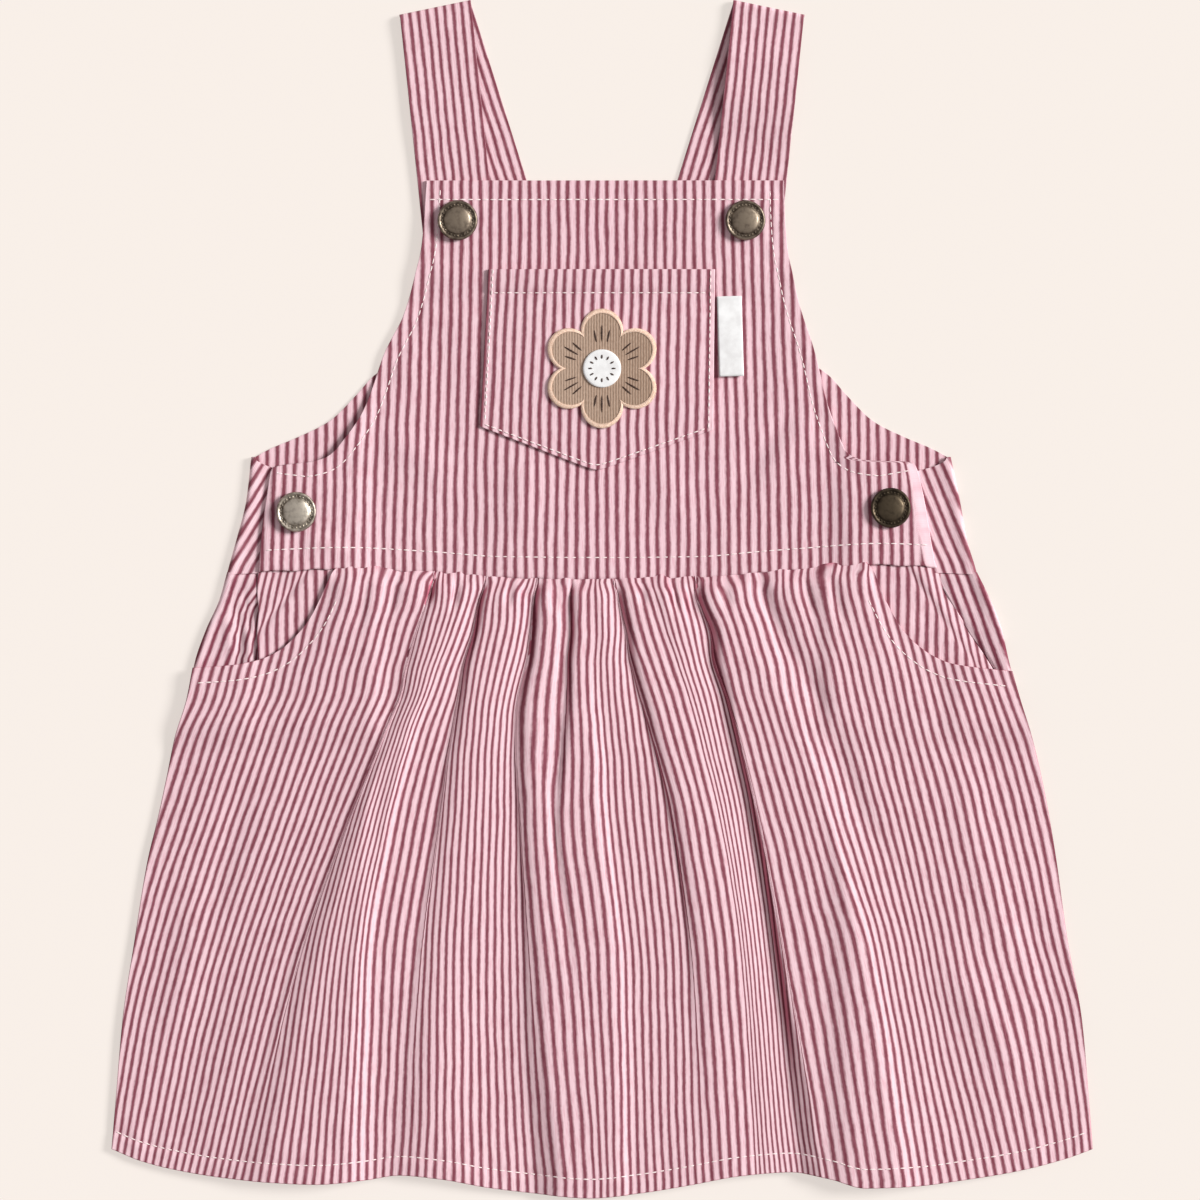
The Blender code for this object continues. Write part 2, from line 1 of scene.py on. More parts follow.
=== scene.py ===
"""Looks of a toddler's pinafore dress in striped cotton twill, laid flat with its front up.

Each sub-assembly is a class: the back panels, the front skirt, the bib, the hip facings, the straps, the
chest pocket, the tab, the flower patch and the press studs. They share one form, which holds the outline
and the layers. Sizes are in millimetres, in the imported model's frame: +X to the right, +Y from the hem to
the shoulder folds, +Z out of the front. Every cloth shell carries a UV map named "cloth": the place on the
flat cut panel in metres, with the stripes running along its second coordinate.
"""
from __future__ import annotations

import logging
import math
from dataclasses import dataclass, field
from enum import Enum
from typing import Any, Callable, NamedTuple, Sequence

import bmesh
import bpy
import numpy as np
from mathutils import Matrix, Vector

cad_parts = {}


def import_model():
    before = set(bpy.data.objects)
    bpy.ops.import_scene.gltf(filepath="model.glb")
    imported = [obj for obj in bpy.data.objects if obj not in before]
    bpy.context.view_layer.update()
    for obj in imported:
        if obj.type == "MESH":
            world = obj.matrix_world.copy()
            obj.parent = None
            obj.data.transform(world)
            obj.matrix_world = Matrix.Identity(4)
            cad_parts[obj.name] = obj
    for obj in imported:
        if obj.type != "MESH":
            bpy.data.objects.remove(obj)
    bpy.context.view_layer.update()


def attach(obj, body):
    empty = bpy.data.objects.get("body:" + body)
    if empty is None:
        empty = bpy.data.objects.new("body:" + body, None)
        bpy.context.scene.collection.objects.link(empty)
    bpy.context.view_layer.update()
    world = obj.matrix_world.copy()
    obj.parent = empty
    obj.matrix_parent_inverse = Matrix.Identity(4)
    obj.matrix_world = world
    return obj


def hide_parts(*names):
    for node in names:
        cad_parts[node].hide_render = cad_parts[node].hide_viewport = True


log = logging.getLogger("pinafore")

Array = np.ndarray
Surface = Callable[[Array, Array], Array]
Lay = Callable[[Array, Array], tuple[Array, ...]]

MM = 0.001
CLOTH_UV = "cloth"

# --- layers, mm ---------------------------------------------------------------------------------
GAP = 0.3               # between neighbouring pieces
LAYER = 1.5             # rise from one layer of cloth to the next
FLOOR_MID = 0.6         # middle of the layer that rests on the surface
CLOTH = 0.9             # thickness of the twill with its turnings
HALF_WALL = 0.6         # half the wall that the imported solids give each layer
WAIST_Y = 11.2          # back waist seam
BACK_TOP_Y = 117.8      # top edge of the back bodice
STRAP_FRONT_END_Y = 141.0  # lower end of each strap's front part
FLAP_FOLD_R = 1.1       # radius of the rolled side folds
HIP_FLAP_END = -37.0    # where the back skirt stops wrapping round the hip
STRIPE_PITCH = 4.07     # from one stripe to the next, across the flat cloth


class Side(NamedTuple):
    """The outline's left and right at one height."""

    y: float
    left: float
    right: float


class Point(NamedTuple):
    """A point of an edge."""

    x: float
    y: float


class Row(NamedTuple):
    """The two ends of one row across the bib."""

    left_x: float
    left_y: float
    right_x: float
    right_y: float


SKIRT_SIDES = [Side(*row) for row in (
    (11, -157.5, 157.5), (-1, -160.9, 163.4), (-13, -166.3, 168.0), (-26, -170.9, 170.9),
    (-43, -174.4, 175.6), (-59, -179.4, 180.6), (-76, -182.9, 184.6), (-93, -186.6, 187.9),
    (-110, -190.7, 190.7), (-143, -196.1, 195.3), (-177, -201.2, 201.4), (-211, -204.1, 204.3),
    (-231, -205.8, 205.8),
)]
BACK_SIDES = [Side(*row) for row in (
    (11, -157.5, 157.5), (25, -153.5, 153.3), (41, -149.5, 150.4), (59, -147.4, 146.6),
)]
HEM = [Point(*row) for row in (
    (-206, -230.9), (-194, -235.8), (-183, -238.8), (-162, -242.5), (-141, -244.6), (-120, -245.5),
    (-99, -243.8), (-85, -241.9), (-68, -243.4), (-47, -247.2), (-26, -249.7), (-5, -251.3), (16, -249.3),
    (37, -245.9), (58, -242.1), (79, -240.6), (96, -243.4), (110, -247.0), (131, -246.3), (152, -243.8),
    (173, -240.4), (194, -235.2), (206, -230.9),
)]
WAIST = [Point(*row) for row in (
    (-145, 11.5), (-108, 12.8), (-72, 11.1), (-43, 9.0), (0, 8.6), (41, 9.0), (66, 11.1), (83, 12.4),
    (117, 14.5), (141, 13.7),
)]
MOUTH_LEFT = [Point(*row) for row in (
    (-171, -29.0), (-155, -27.9), (-144, -25.8), (-135, -21.6), (-126, -13.2), (-121, -6.1), (-117, 2.3),
    (-112, 12.2),
)]
MOUTH_RIGHT = [Point(*row) for row in (
    (112, 14.0), (118, 1.1), (125, -11.5), (131, -18.3), (140, -24.6), (148, -27.5), (164, -29.6),
    (172.4, -30.4),
)]
WAIST_POINTS = (-108, -72, -43, 0, 41, 66, 83)
BACK_ARMHOLE = [Point(*row) for row in (
    (-147.4, 59.4), (-141, 62.8), (-129, 67.8), (-116, 74.3), (-104, 85.8), (-97, 93.5), (-88, 99.3),
    (-78, 103.7), (-66, 109.4), (-50, BACK_TOP_Y),
)]
BIB_ROWS = [Row(*row) for row in (
    (-143.4, 20.0, 138.6, 21.0), (-142.4, 31.0, 136.9, 31.0), (-140.6, 43.0, 134.2, 46.0),
    (-138.2, 54.8, 130.2, 56.9), (-124.3, 56.9, 116.8, 57.4), (-116.3, 59.0, 107.5, 58.6),
    (-112.6, 61.5, 102.5, 61.5), (-108.4, 66.6, 100.0, 66.6), (-104.6, 71.6, 98.1, 71.6),
    (-100.2, 78.8, 95.5, 78.8), (-97.0, 86.7, 93.2, 86.7), (-94.3, 94.5, 91.5, 94.5),
    (-91.6, 102.3, 89.6, 102.3), (-88.0, 109.6, 87.4, 109.6), (-83.8, 117.6, 84.6, 117.6),
    (-80.8, 126.6, 82.0, 126.6), (-78.4, 135.9, 80.0, 135.9), (-76.0, 146.0, 77.9, 146.0),
    (-74.8, 156.9, 76.9, 156.9), (-74.2, 166.0, 76.5, 166.0), (-73.6, 175.3, 76.3, 175.3),
)]


class Fold(NamedTuple):
    """A line of cloth that a skirt fold follows, and the fold's shape.

    cut is the line's place across the flat panel, and waist to hem are where it lies. Cloth that finds no
    room goes into the flank beside the line. left and right are the heights of the cloth on its two sides.
    lip is the share of the drop that comes at once, at the flank's upper edge.
    """

    cut: float
    waist: float
    hip: float
    high: float
    mid: float
    low: float
    hem: float
    flank_waist: float
    flank_hem: float
    left_mid: float
    right_mid: float
    left_hem: float
    right_hem: float
    dip: float
    lip: float


FOLD_LEVELS = (9.9, -17.4, -51.0, -93.0, -151.8, -244.2)
FOLDS = [Fold(*row) for row in (
    (-222, -150, -155, -166, -177, -195, -216, 6, 16, 0.6, 2.6, 0.9, 1.3, 0.0, 0.0),
    (-139, -70, -78, -89, -106, -127, -150, 6, 20, 2.4, 5.2, 2.0, 4.6, 0.8, 0.35),
    (-87, -56, -64, -77, -89, -99, -102, 6, 14, 5.2, 2.2, 4.8, 2.0, 0.5, 0.0),
    (-64, -48, -55, -62, -68, -76, -82, 5, 16, 1.8, 3.8, 1.8, 3.0, 2.6, 0.5),
    (0, -26, -30, -36, -34, -30, -22, 5, 26, 1.8, 4.8, 1.0, 5.0, 2.8, 0.45),
    (17, -13, -14, -15, -18, -11, -4, 4, 9, 3.2, 5.4, 4.6, 5.0, 2.6, 0.6),
    (34, -3, -3, -2, 0, 6, 8, 5, 20, 5.0, 2.4, 5.2, 2.6, 0.4, 0.0),
    (77, 5, 10, 20, 30, 38, 44, 5, 12, 1.8, 3.9, 2.6, 2.9, 2.4, 0.6),
    (98, 20, 28, 38, 49, 58, 64, 4, 9, 3.6, 3.0, 2.8, 2.4, 0.3, 0.0),
    (152, 38, 45.5, 56, 66, 77, 94, 6, 34, 1.2, 8.2, 1.0, 9.6, 2.8, 0.65),
    (181, 66, 73, 82, 94, 112, 126, 7, 18, 6.0, 3.4, 7.4, 3.4, 1.0, 0.0),
    (270, 155, 161, 167, 176, 181, 213, 6, 12, 1.4, 1.2, 1.2, 0.9, 0.0, 0.0),
)]


class Hand(Enum):
    """A side of the dress, as the picture shows it."""

    LEFT = -1.0
    RIGHT = 1.0

    @property
    def word(self) -> str:
        """The side's name in a piece's name."""
        return self.name.lower()


# --- numbers ------------------------------------------------------------------------------------
class SmoothCurve:
    """A monotone cubic through points, which never swings past them."""

    def __init__(self, keys: Sequence[float], values: Sequence[float]) -> None:
        """Work out the tangents.

        Args:
            keys: increasing places of the points.
            values: the curve's value at each of them.
        """
        self.keys = np.asarray(keys, float)
        self.values = np.asarray(values, float)
        self.steps = np.diff(self.keys)
        slopes = np.diff(self.values) / self.steps
        self.tangents = np.zeros(len(self.keys))
        turning = slopes[:-1] * slopes[1:] <= 0
        safe = np.where(turning, 1.0, slopes[:-1] + slopes[1:])
        self.tangents[1:-1] = np.where(turning, 0.0, 2.0 * slopes[:-1] * slopes[1:] / safe)
        self.tangents[[0, -1]] = slopes[[0, -1]]

    def __call__(self, at: Array | float) -> Array:
        """Return the curve's values, level beyond its ends."""
        at = np.clip(np.asarray(at, float), self.keys[0], self.keys[-1])
        i = np.clip(np.searchsorted(self.keys, at, side="right") - 1, 0, len(self.steps) - 1)
        h = self.steps[i]
        t = (at - self.keys[i]) / h
        start, end = self.values[i], self.values[i + 1]
        return ((2 * t**3 - 3 * t**2 + 1) * start + (t**3 - 2 * t**2 + t) * h * self.tangents[i]
                + (3 * t**2 - 2 * t**3) * end + (t**3 - t**2) * h * self.tangents[i + 1])


class SoftNoise:
    """Smooth, seeded unevenness on the plane, from minus one to one, in bumps about one cell wide."""

    LATTICE = 64

    def __init__(self, seed: int, cell: float) -> None:
        """Draw the lattice once, so that every run gives the same cloth."""
        self.cell = cell
        self.lattice = np.random.default_rng(seed).uniform(-1.0, 1.0, (self.LATTICE, self.LATTICE))

    def __call__(self, x: Array, y: Array | float) -> Array:
        """Return the noise at each point (x, y)."""
        gx, gy = np.broadcast_arrays(np.asarray(x, float) / self.cell, np.asarray(y, float) / self.cell)
        i, j = np.floor(gx).astype(int), np.floor(gy).astype(int)
        tx, ty = ramp(gx - i, 0.0, 1.0), ramp(gy - j, 0.0, 1.0)
        size = self.LATTICE
        return blended(lambda a, b: self.lattice[(i + a) % size, (j + b) % size], tx, ty)


def own_noise(seed: int, cell: float) -> Any:
    """Return a dataclass field that draws its soft noise when the object is made."""
    return field(default_factory=lambda: SoftNoise(seed, cell))


@dataclass
class Raster:
    """Values on an even grid of x and y, read between its points."""

    x0: float
    y0: float
    step_x: float
    step_y: float
    values: Array

    def __call__(self, x: Array, y: Array) -> Array:
        """Return the values at each point."""
        rows, columns = self.values.shape
        gx = np.clip((np.asarray(x, float) - self.x0) / self.step_x, 0, columns - 1.001)
        gy = np.clip((np.asarray(y, float) - self.y0) / self.step_y, 0, rows - 1.001)
        i, j = gx.astype(int), gy.astype(int)
        return blended(lambda a, b: self.values[j + b, i + a], gx - i, gy - j)


def blended(corner: Callable[[int, int], Array], tx: Array, ty: Array) -> Array:
    """Return values between the four corners of their cells.

    Args:
        corner: returns the values at a corner, which is given as 0 or 1 along x and along y.
        tx: shares of the cell along x.
        ty: shares of the cell along y.
    """
    low, high = (corner(0, b) * (1 - tx) + corner(1, b) * tx for b in (0, 1))
    return low * (1 - ty) + high * ty


def ramp(at: Array | float, start: float, end: float) -> Array:
    """Return 0 before start, 1 after end, and a soft step between them."""
    t = np.clip((np.asarray(at, float) - start) / (end - start), 0.0, 1.0)
    return t * t * (3.0 - 2.0 * t)


def bell(distance: Array, width: Array | float) -> Array:
    """Return a soft bump about as wide as width."""
    return np.exp(-4.0 * (distance / width) ** 2)


def eased(count: int, edge: float, crowd: Sequence[tuple[float, float, float]] = ()) -> Array:
    """Return shares from 0 to 1 for a grid's lines, with two close lines at each end for the rolled edge.

    Args:
        count: how many steps lie between the two edges.
        edge: share of the panel that each close line takes.
        crowd: places where the lines lie closer, as (share, width, how many times closer).
    """
    at = np.linspace(0.0, 1.0, 2001)
    density = np.ones_like(at)
    for place, width, times in crowd:
        density += (times - 1.0) * bell(at - place, width)
    total = np.concatenate(([0.0], np.cumsum((density[1:] + density[:-1]) / 2)))
    inner = np.interp(np.linspace(0.0, 1.0, count + 1), total / total[-1], at)
    inner = 2 * edge + inner * (1 - 4 * edge)
    return np.concatenate(([0.0, edge], inner, [1 - edge, 1.0]))


def along_path(points: Array, step: float) -> Array:
    """Return points a step apart along a polyline."""
    run = np.concatenate(([0.0], np.cumsum(np.hypot(*np.diff(points, axis=0).T))))
    at = np.arange(0.0, run[-1], step)
    return np.stack([np.interp(at, run, points[:, k]) for k in (0, 1)], 1)


def beside(points: Array, offset: float) -> Array:
    """Return a polyline moved to its own right by offset."""
    along = np.gradient(points, axis=0)
    along /= np.hypot(*along.T)[:, None]
    return points + offset * np.stack((along[:, 1], -along[:, 0]), 1)


def distance_to(points: Array, x: Array, y: Array) -> Array:
    """Return how far each (x, y) lies from a polyline."""
    near = along_path(points, 1.5)
    gaps = (x[:, None] - near[None, :, 0]) ** 2 + (y[:, None] - near[None, :, 1]) ** 2
    return np.sqrt(gaps.min(axis=1))


@dataclass(frozen=True)
class Crease:
    """A soft ridge along a shallow arc, or a trough where its rise is negative."""

    x0: float
    y0: float
    x1: float
    y1: float
    bend: float
    width: float
    rise: float
    start_fade: float = 0.3
    end_fade: float = 0.45

    def __call__(self, x: Array, y: Array) -> Array:
        """Return the crease's height at each point."""
        dx, dy = self.x1 - self.x0, self.y1 - self.y0
        length = math.hypot(dx, dy)
        along = ((x - self.x0) * dx + (y - self.y0) * dy) / length**2
        side = ((y - self.y0) * dx - (x - self.x0) * dy) / length
        on = np.clip(along, 0, 1)
        arc = self.bend * 4 * on * (1 - on)
        ends = ramp(along, -0.02, self.start_fade) * ramp(1 - along, -0.02, self.end_fade)
        return self.rise * ends * bell(side - arc, self.width)


def relief(creases: Sequence[Crease], x: Array, y: Array) -> Array:
    """Return the height of all the creases together."""
    return sum((crease(x, y) for crease in creases), np.zeros_like(x))


def side_curves(table: Sequence[Side]) -> tuple[SmoothCurve, SmoothCurve]:
    """Return the left and right outline as functions of y."""
    rows = sorted(table)
    heights = [row.y for row in rows]
    return SmoothCurve(heights, [row.left for row in rows]), SmoothCurve(heights, [row.right for row in rows])


def edge_curve(table: Sequence[Point]) -> SmoothCurve:
    """Return an edge's y as a function of x."""
    return SmoothCurve([point.x for point in table], [point.y for point in table])


# --- shader maths -------------------------------------------------------------------------------
def srgb(red: int, green: int, blue: int) -> tuple[float, float, float, float]:
    """Return a screen colour as the linear RGBA that a shader takes."""
    linear = [((c / 255 + 0.055) / 1.055) ** 2.4 if c > 10 else c / 255 / 12.92 for c in (red, green, blue)]
    return (linear[0], linear[1], linear[2], 1.0)


class Expr:
    """A shader value. Python's operators on it add Math nodes to its graph."""

    def __init__(self, graph: "Graph", socket: bpy.types.NodeSocket) -> None:
        """Wrap an output socket."""
        self.graph = graph
        self.socket = socket

    def math(self, operation: str, *values: Any) -> "Expr":
        """Add a Math node on these values."""
        return self.graph.node("ShaderNodeMath", {"operation": operation}, dict(enumerate(values)))

    def __add__(self, other: Any) -> "Expr":
        """Return the sum."""
        return self.math("ADD", self, other)

    def __radd__(self, other: Any) -> "Expr":
        """Return the sum."""
        return self.math("ADD", other, self)

    def __sub__(self, other: Any) -> "Expr":
        """Return the difference."""
        return self.math("SUBTRACT", self, other)

    def __rsub__(self, other: Any) -> "Expr":
        """Return the difference."""
        return self.math("SUBTRACT", other, self)

    def __mul__(self, other: Any) -> "Expr":
        """Return the product."""
        return self.math("MULTIPLY", self, other)

    def __rmul__(self, other: Any) -> "Expr":
        """Return the product."""
        return self.math("MULTIPLY", other, self)

    def __truediv__(self, other: Any) -> "Expr":
        """Return the quotient."""
        return self.math("DIVIDE", self, other)

    def fraction(self) -> "Expr":
        """Return what is left over a whole number."""
        return self.math("FRACT", self)

    def magnitude(self) -> "Expr":
        """Return the value without its sign."""
        return self.math("ABSOLUTE", self)

    def sine(self) -> "Expr":
        """Return the sine."""
        return self.math("SINE", self)

    def between(self, low: float, high: float) -> "Expr":
        """Return a soft step from 0 at low to 1 at high."""
        return self.graph.node("ShaderNodeMapRange", {"interpolation_type": "SMOOTHSTEP"},
                               {0: self, 1: low, 2: high})


class Graph:
    """The nodes of one material, in front of its Principled shader."""

    def __init__(self, name: str) -> None:
        """Start a material.

        Args:
            name: the material's name.
        """
        self.material = bpy.data.materials.new(name)
        self.material.use_nodes = True
        self.nodes = self.material.node_tree.nodes
        self.links = self.material.node_tree.links

    def node(self, kind: str, settings: dict[str, Any] | None = None,
             inputs: dict[int | str, Any] | None = None, output: int = 0) -> Expr:
        """Add a node.

        Args:
            kind: the node's type.
            settings: its own settings, which are made first.
            inputs: a value or a link for each of its sockets that is used.
            output: which of its outputs is returned.

        Returns:
            The output as an expression.
        """
        made = self.nodes.new(kind)
        for key, value in (settings or {}).items():
            setattr(made, key, value)
        for key, value in (inputs or {}).items():
            self.feed(made.inputs[key], value)
        return Expr(self, made.outputs[output])

    def feed(self, socket: bpy.types.NodeSocket, value: Any) -> None:
        """Link an expression to a socket, or set the socket's own value."""
        if isinstance(value, Expr):
            self.links.new(value.socket, socket)
        else:
            socket.default_value = value

    def mix(self, factor: Any, first: Any, second: Any) -> Expr:
        """Return the first colour where the factor is 0 and the second where it is 1."""
        return self.node("ShaderNodeMix", {"data_type": "RGBA"}, {0: factor, 6: first, 7: second}, output=2)

    def vector(self, x: Any, y: Any, z: Any = 0.0) -> Expr:
        """Return a vector from three values."""
        return self.node("ShaderNodeCombineXYZ", None, {0: x, 1: y, 2: z})

    def noise(self, vector: Expr, scale: float = 1.0, detail: float = 2.0) -> Expr:
        """Return soft noise from about 0 to 1."""
        return self.node("ShaderNodeTexNoise", None, {"Vector": vector, "Scale": scale, "Detail": detail})

    def cloth(self) -> tuple[Expr, Expr]:
        """Return the place on the flat cloth, across and along the stripes, in millimetres."""
        uv = self.node("ShaderNodeUVMap", {"uv_map": CLOTH_UV})
        return self.millimetres(uv, 0), self.millimetres(uv, 1)

    def millimetres(self, place: Expr, axis: int) -> Expr:
        """Return one coordinate of a place that is given in metres."""
        return self.node("ShaderNodeSeparateXYZ", None, {0: place}, output=axis) * (1 / MM)

    def place(self) -> Expr:
        """Return the place on the object, in metres."""
        return self.node("ShaderNodeTexCoord", None, None, output=3)

    def level(self) -> Expr:
        """Return how level the surface is: 1 where it lies flat and 0 where it stands upright."""
        normal = self.node("ShaderNodeTexCoord", None, None, output=1)
        return self.node("ShaderNodeSeparateXYZ", None, {0: normal}, output=2).magnitude()

    def bump(self, height: Expr, strength: float, distance_mm: float) -> Expr:
        """Return a normal that a height between 0 and 1 has bumped."""
        return self.node("ShaderNodeBump", None,
                         {"Strength": strength, "Distance": distance_mm * MM, "Height": height})

    def finish(self, **sockets: Any) -> bpy.types.Material:
        """Feed the shader's sockets, named with underscores for spaces, and return the material."""
        shader = self.nodes["Principled BSDF"]
        for key, value in sockets.items():
            self.feed(shader.inputs[key.replace("_", " ")], value)
        return self.material


# --- finishes -----------------------------------------------------------------------------------
@dataclass(frozen=True)
class StripedTwill:
    """Cotton twill with raspberry stripes in its warp; on gathered cloth it carries painted shade, deeper and
    redder where the cloth stands steeply.
    """

    name: str
    pitch: float = STRIPE_PITCH
    dark_share: float = 0.44
    softness: float = 0.3
    rib: float = 0.75
    shift: float = 0.0
    dark: tuple[int, int, int] = (122, 56, 70)
    dark_worn: tuple[int, int, int] = (150, 86, 99)
    light: tuple[int, int, int] = (245, 210, 217)
    light_low: tuple[int, int, int] = (232, 184, 194)
    # painted shade: the stripe colours that stand in for the shade on the steep flanks of folds
    painted_shade_light: tuple[int, int, int] = (206, 116, 136)
    painted_shade_dark: tuple[int, int, int] = (104, 30, 48)
    # gathered switches on the painted shade in steep folds
    gathered: bool = False

    def material(self) -> bpy.types.Material:
        """Build the nodes."""
        g = Graph(self.name)
        u, v = g.cloth()
        sway = g.noise(g.vector(u * 0.05, v * 0.03), 1.0, 1.0)
        drift = g.noise(g.vector(u * 0.25, v * 0.08), 1.0, 1.0)
        fray = g.noise(g.vector(u * 0.9, v * 0.5), 1.0, 3.0)
        phase = (u + (sway - 0.5) * 1.6 + (drift - 0.5) * 0.7 + (fray - 0.5) * 0.6 + self.shift) / self.pitch
        off_centre = (phase.fraction() - 0.5).magnitude() * 2.0
        light = off_centre.between(self.dark_share - self.softness, self.dark_share + self.softness)
        yarn = g.noise(g.vector(u * 2.3, v * 0.16), 1.0, 2.0)
        dark_yarn = g.mix(yarn.between(0.3, 0.75), srgb(*self.dark), srgb(*self.dark_worn))
        light_yarn = g.mix(yarn.between(0.25, 0.6), srgb(*self.light_low), srgb(*self.light))
        # painted shade: steep cloth is mixed toward darker, redder colours, as if in the shade of a fold
        if self.gathered:
            free_of_painted_shade = g.level().between(0.74, 0.965)
            dark_yarn = g.mix(free_of_painted_shade, srgb(*self.painted_shade_dark), dark_yarn)
            light_yarn = g.mix(free_of_painted_shade, srgb(*self.painted_shade_light), light_yarn)
        ribs = ((u * 0.85 + v) * (2 * math.pi / self.rib)).sine() * 0.5 + 0.5
        height = ribs * 0.55 + yarn * 0.45
        return g.finish(Base_Color=g.mix(light, dark_yarn, light_yarn), Roughness=0.86,
                        Specular_IOR_Level=0.25, Sheen_Weight=0.08, Sheen_Roughness=0.5,
                        Normal=g.bump(height, 0.35, 0.12))


@dataclass(frozen=True)
class SewingThread:
    """Cotton sewing thread, lightly twisted."""

    name: str
    colour: tuple[int, int, int]
    shade: tuple[int, int, int]

    def material(self) -> bpy.types.Material:
        """Build the nodes."""
        g = Graph(self.name)
        plies = g.noise(g.place(), 1600.0, 2.0)
        return g.finish(Base_Color=g.mix(plies.between(0.3, 0.7), srgb(*self.shade), srgb(*self.colour)),
                        Roughness=0.62, Specular_IOR_Level=0.35, Normal=g.bump(plies, 0.4, 0.1))


@dataclass(frozen=True)
class TanPlush:
    """Short brushed pile, ribbed up and down, paler towards one side."""

    name: str = "tan_plush"
    tan: tuple[int, int, int] = (186, 160, 140)
    brown: tuple[int, int, int] = (150, 122, 102)
    rib: float = 1.15

    def material(self) -> bpy.types.Material:
        """Build the nodes."""
        g = Graph(self.name)
        place = g.place()
        x, y = g.millimetres(place, 0), g.millimetres(place, 1)
        rib = (x * (2 * math.pi / self.rib)).sine() * 0.5 + 0.5
        pile = g.noise(g.vector(x * 1.7, y * 0.7), 1.0, 4.0)
        shade = rib * 0.35 + pile * 0.65 + x * 0.006
        return g.finish(Base_Color=g.mix(shade.between(0.25, 0.8), srgb(*self.tan), srgb(*self.brown)),
                        Roughness=0.95, Sheen_Weight=0.35, Sheen_Roughness=0.4,
                        Normal=g.bump(rib * 0.4 + pile * 0.6, 0.7, 0.35))


@dataclass(frozen=True)
class WhiteCotton:
    """Plain white cotton with a fine even weave."""

    name: str = "white_cotton"
    threads: float = 0.45
    low: tuple[int, int, int] = (232, 231, 230)
    high: tuple[int, int, int] = (246, 246, 245)

    def material(self) -> bpy.types.Material:
        """Build the nodes."""
        g = Graph(self.name)
        place = g.place()
        x, y = g.millimetres(place, 0), g.millimetres(place, 1)
        weave = (x * (2 * math.pi / self.threads)).sine() * (y * (2 * math.pi / self.threads)).sine()
        cloud = g.noise(place, 220.0, 3.0)
        return g.finish(Base_Color=g.mix(cloud.between(0.3, 0.7), srgb(*self.low), srgb(*self.high)),
                        Roughness=0.8, Specular_IOR_Level=0.3,
                        Normal=g.bump(weave * 0.5 + 0.5, 0.3, 0.08))


@dataclass(frozen=True)
class AntiqueBrass:
    """Brass that was darkened and rubbed, brighter on what stands proud."""

    name: str = "antique_brass"
    base_z: float = 4.5
    height: float = 3.4
    dark: tuple[int, int, int] = (78, 67, 58)
    bright: tuple[int, int, int] = (164, 149, 131)

    def material(self) -> bpy.types.Material:
        """Build the nodes."""
        g = Graph(self.name)
        place = g.place()
        z = g.millimetres(place, 2)
        patina = g.noise(place, 430.0, 4.0)
        rubbed = ((z - self.base_z) / self.height + (patina - 0.5) * 1.5).between(0.25, 1.15)
        scratch = g.noise(place, 2600.0, 2.0)
        return g.finish(Base_Color=g.mix(rubbed, srgb(*self.dark), srgb(*self.bright)),
                        Metallic=1.0, Roughness=0.56 - rubbed * 0.12,
                        Normal=g.bump(scratch * 0.3 + patina * 0.7, 0.5, 0.2))


class Finishes:
    """All the materials, built once."""

    def __init__(self) -> None:
        """Build each finish."""
        self.twill = StripedTwill("twill").material()
        # the front skirt's twill, with painted shade where its folds stand steeply
        self.twill_painted_fold_shade = StripedTwill("twill_painted_fold_shade", gathered=True).material()
        self.strap_twill = StripedTwill("strap_twill", pitch=3.6, shift=1.8).material()
        self.reverse_twill = StripedTwill("reverse_twill", dark=(116, 46, 62), dark_worn=(138, 70, 86),
                                          light=(238, 206, 212), light_low=(226, 182, 192)).material()
        self.ivory = SewingThread("ivory_thread", (255, 242, 239), (246, 224, 222)).material()
        self.cream = SewingThread("cream_thread", (248, 222, 200), (232, 196, 172)).material()
        self.brown = SewingThread("brown_thread", (84, 60, 50), (52, 36, 30)).material()
        self.plush = TanPlush().material()
        self.white = WhiteCotton().material()
        self.brass = AntiqueBrass().material()
        # painted reflection: a lighter copy of the brass, for a stud that catches the light
        self.brass_painted_reflection = AntiqueBrass("brass_painted_reflection", dark=(112, 100, 88), bright=(224, 214, 198)).material()
        # painted shade: a darker copy of the brass, for a stud that reflects little light
        self.brass_painted_shade = AntiqueBrass("brass_painted_shade", dark=(52, 44, 37), bright=(100, 88, 72)).material()


# --- making pieces ------------------------------------------------------------------------------
def dress(piece: bpy.types.Object, slot: str, *nodes: str) -> bpy.types.Object:
    """Let a piece ride on the dress, hide the imported parts that it stands for, and log it with its slot."""
    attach(piece, "root")
    if nodes:
        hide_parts(*nodes)
    log.info("piece %s: %d faces, slot %s", piece.name, len(piece.data.polygons), slot)
    return piece


def link_data(name: str, mesh: bpy.types.Mesh, material: bpy.types.Material) -> bpy.types.Object:
    """Turn a mesh, in metres, into a smooth object with one material."""
    mesh.shade_smooth()
    mesh.materials.append(material)
    thing = bpy.data.objects.new(name, mesh)
    bpy.context.scene.collection.objects.link(thing)
    return thing


def link_mesh(name: str, bm: bmesh.types.BMesh, material: bpy.types.Material) -> bpy.types.Object:
    """Turn a bmesh, in metres, into such an object and free it."""
    mesh = bpy.data.meshes.new(name)
    bm.to_mesh(mesh)
    bm.free()
    return link_data(name, mesh, material)


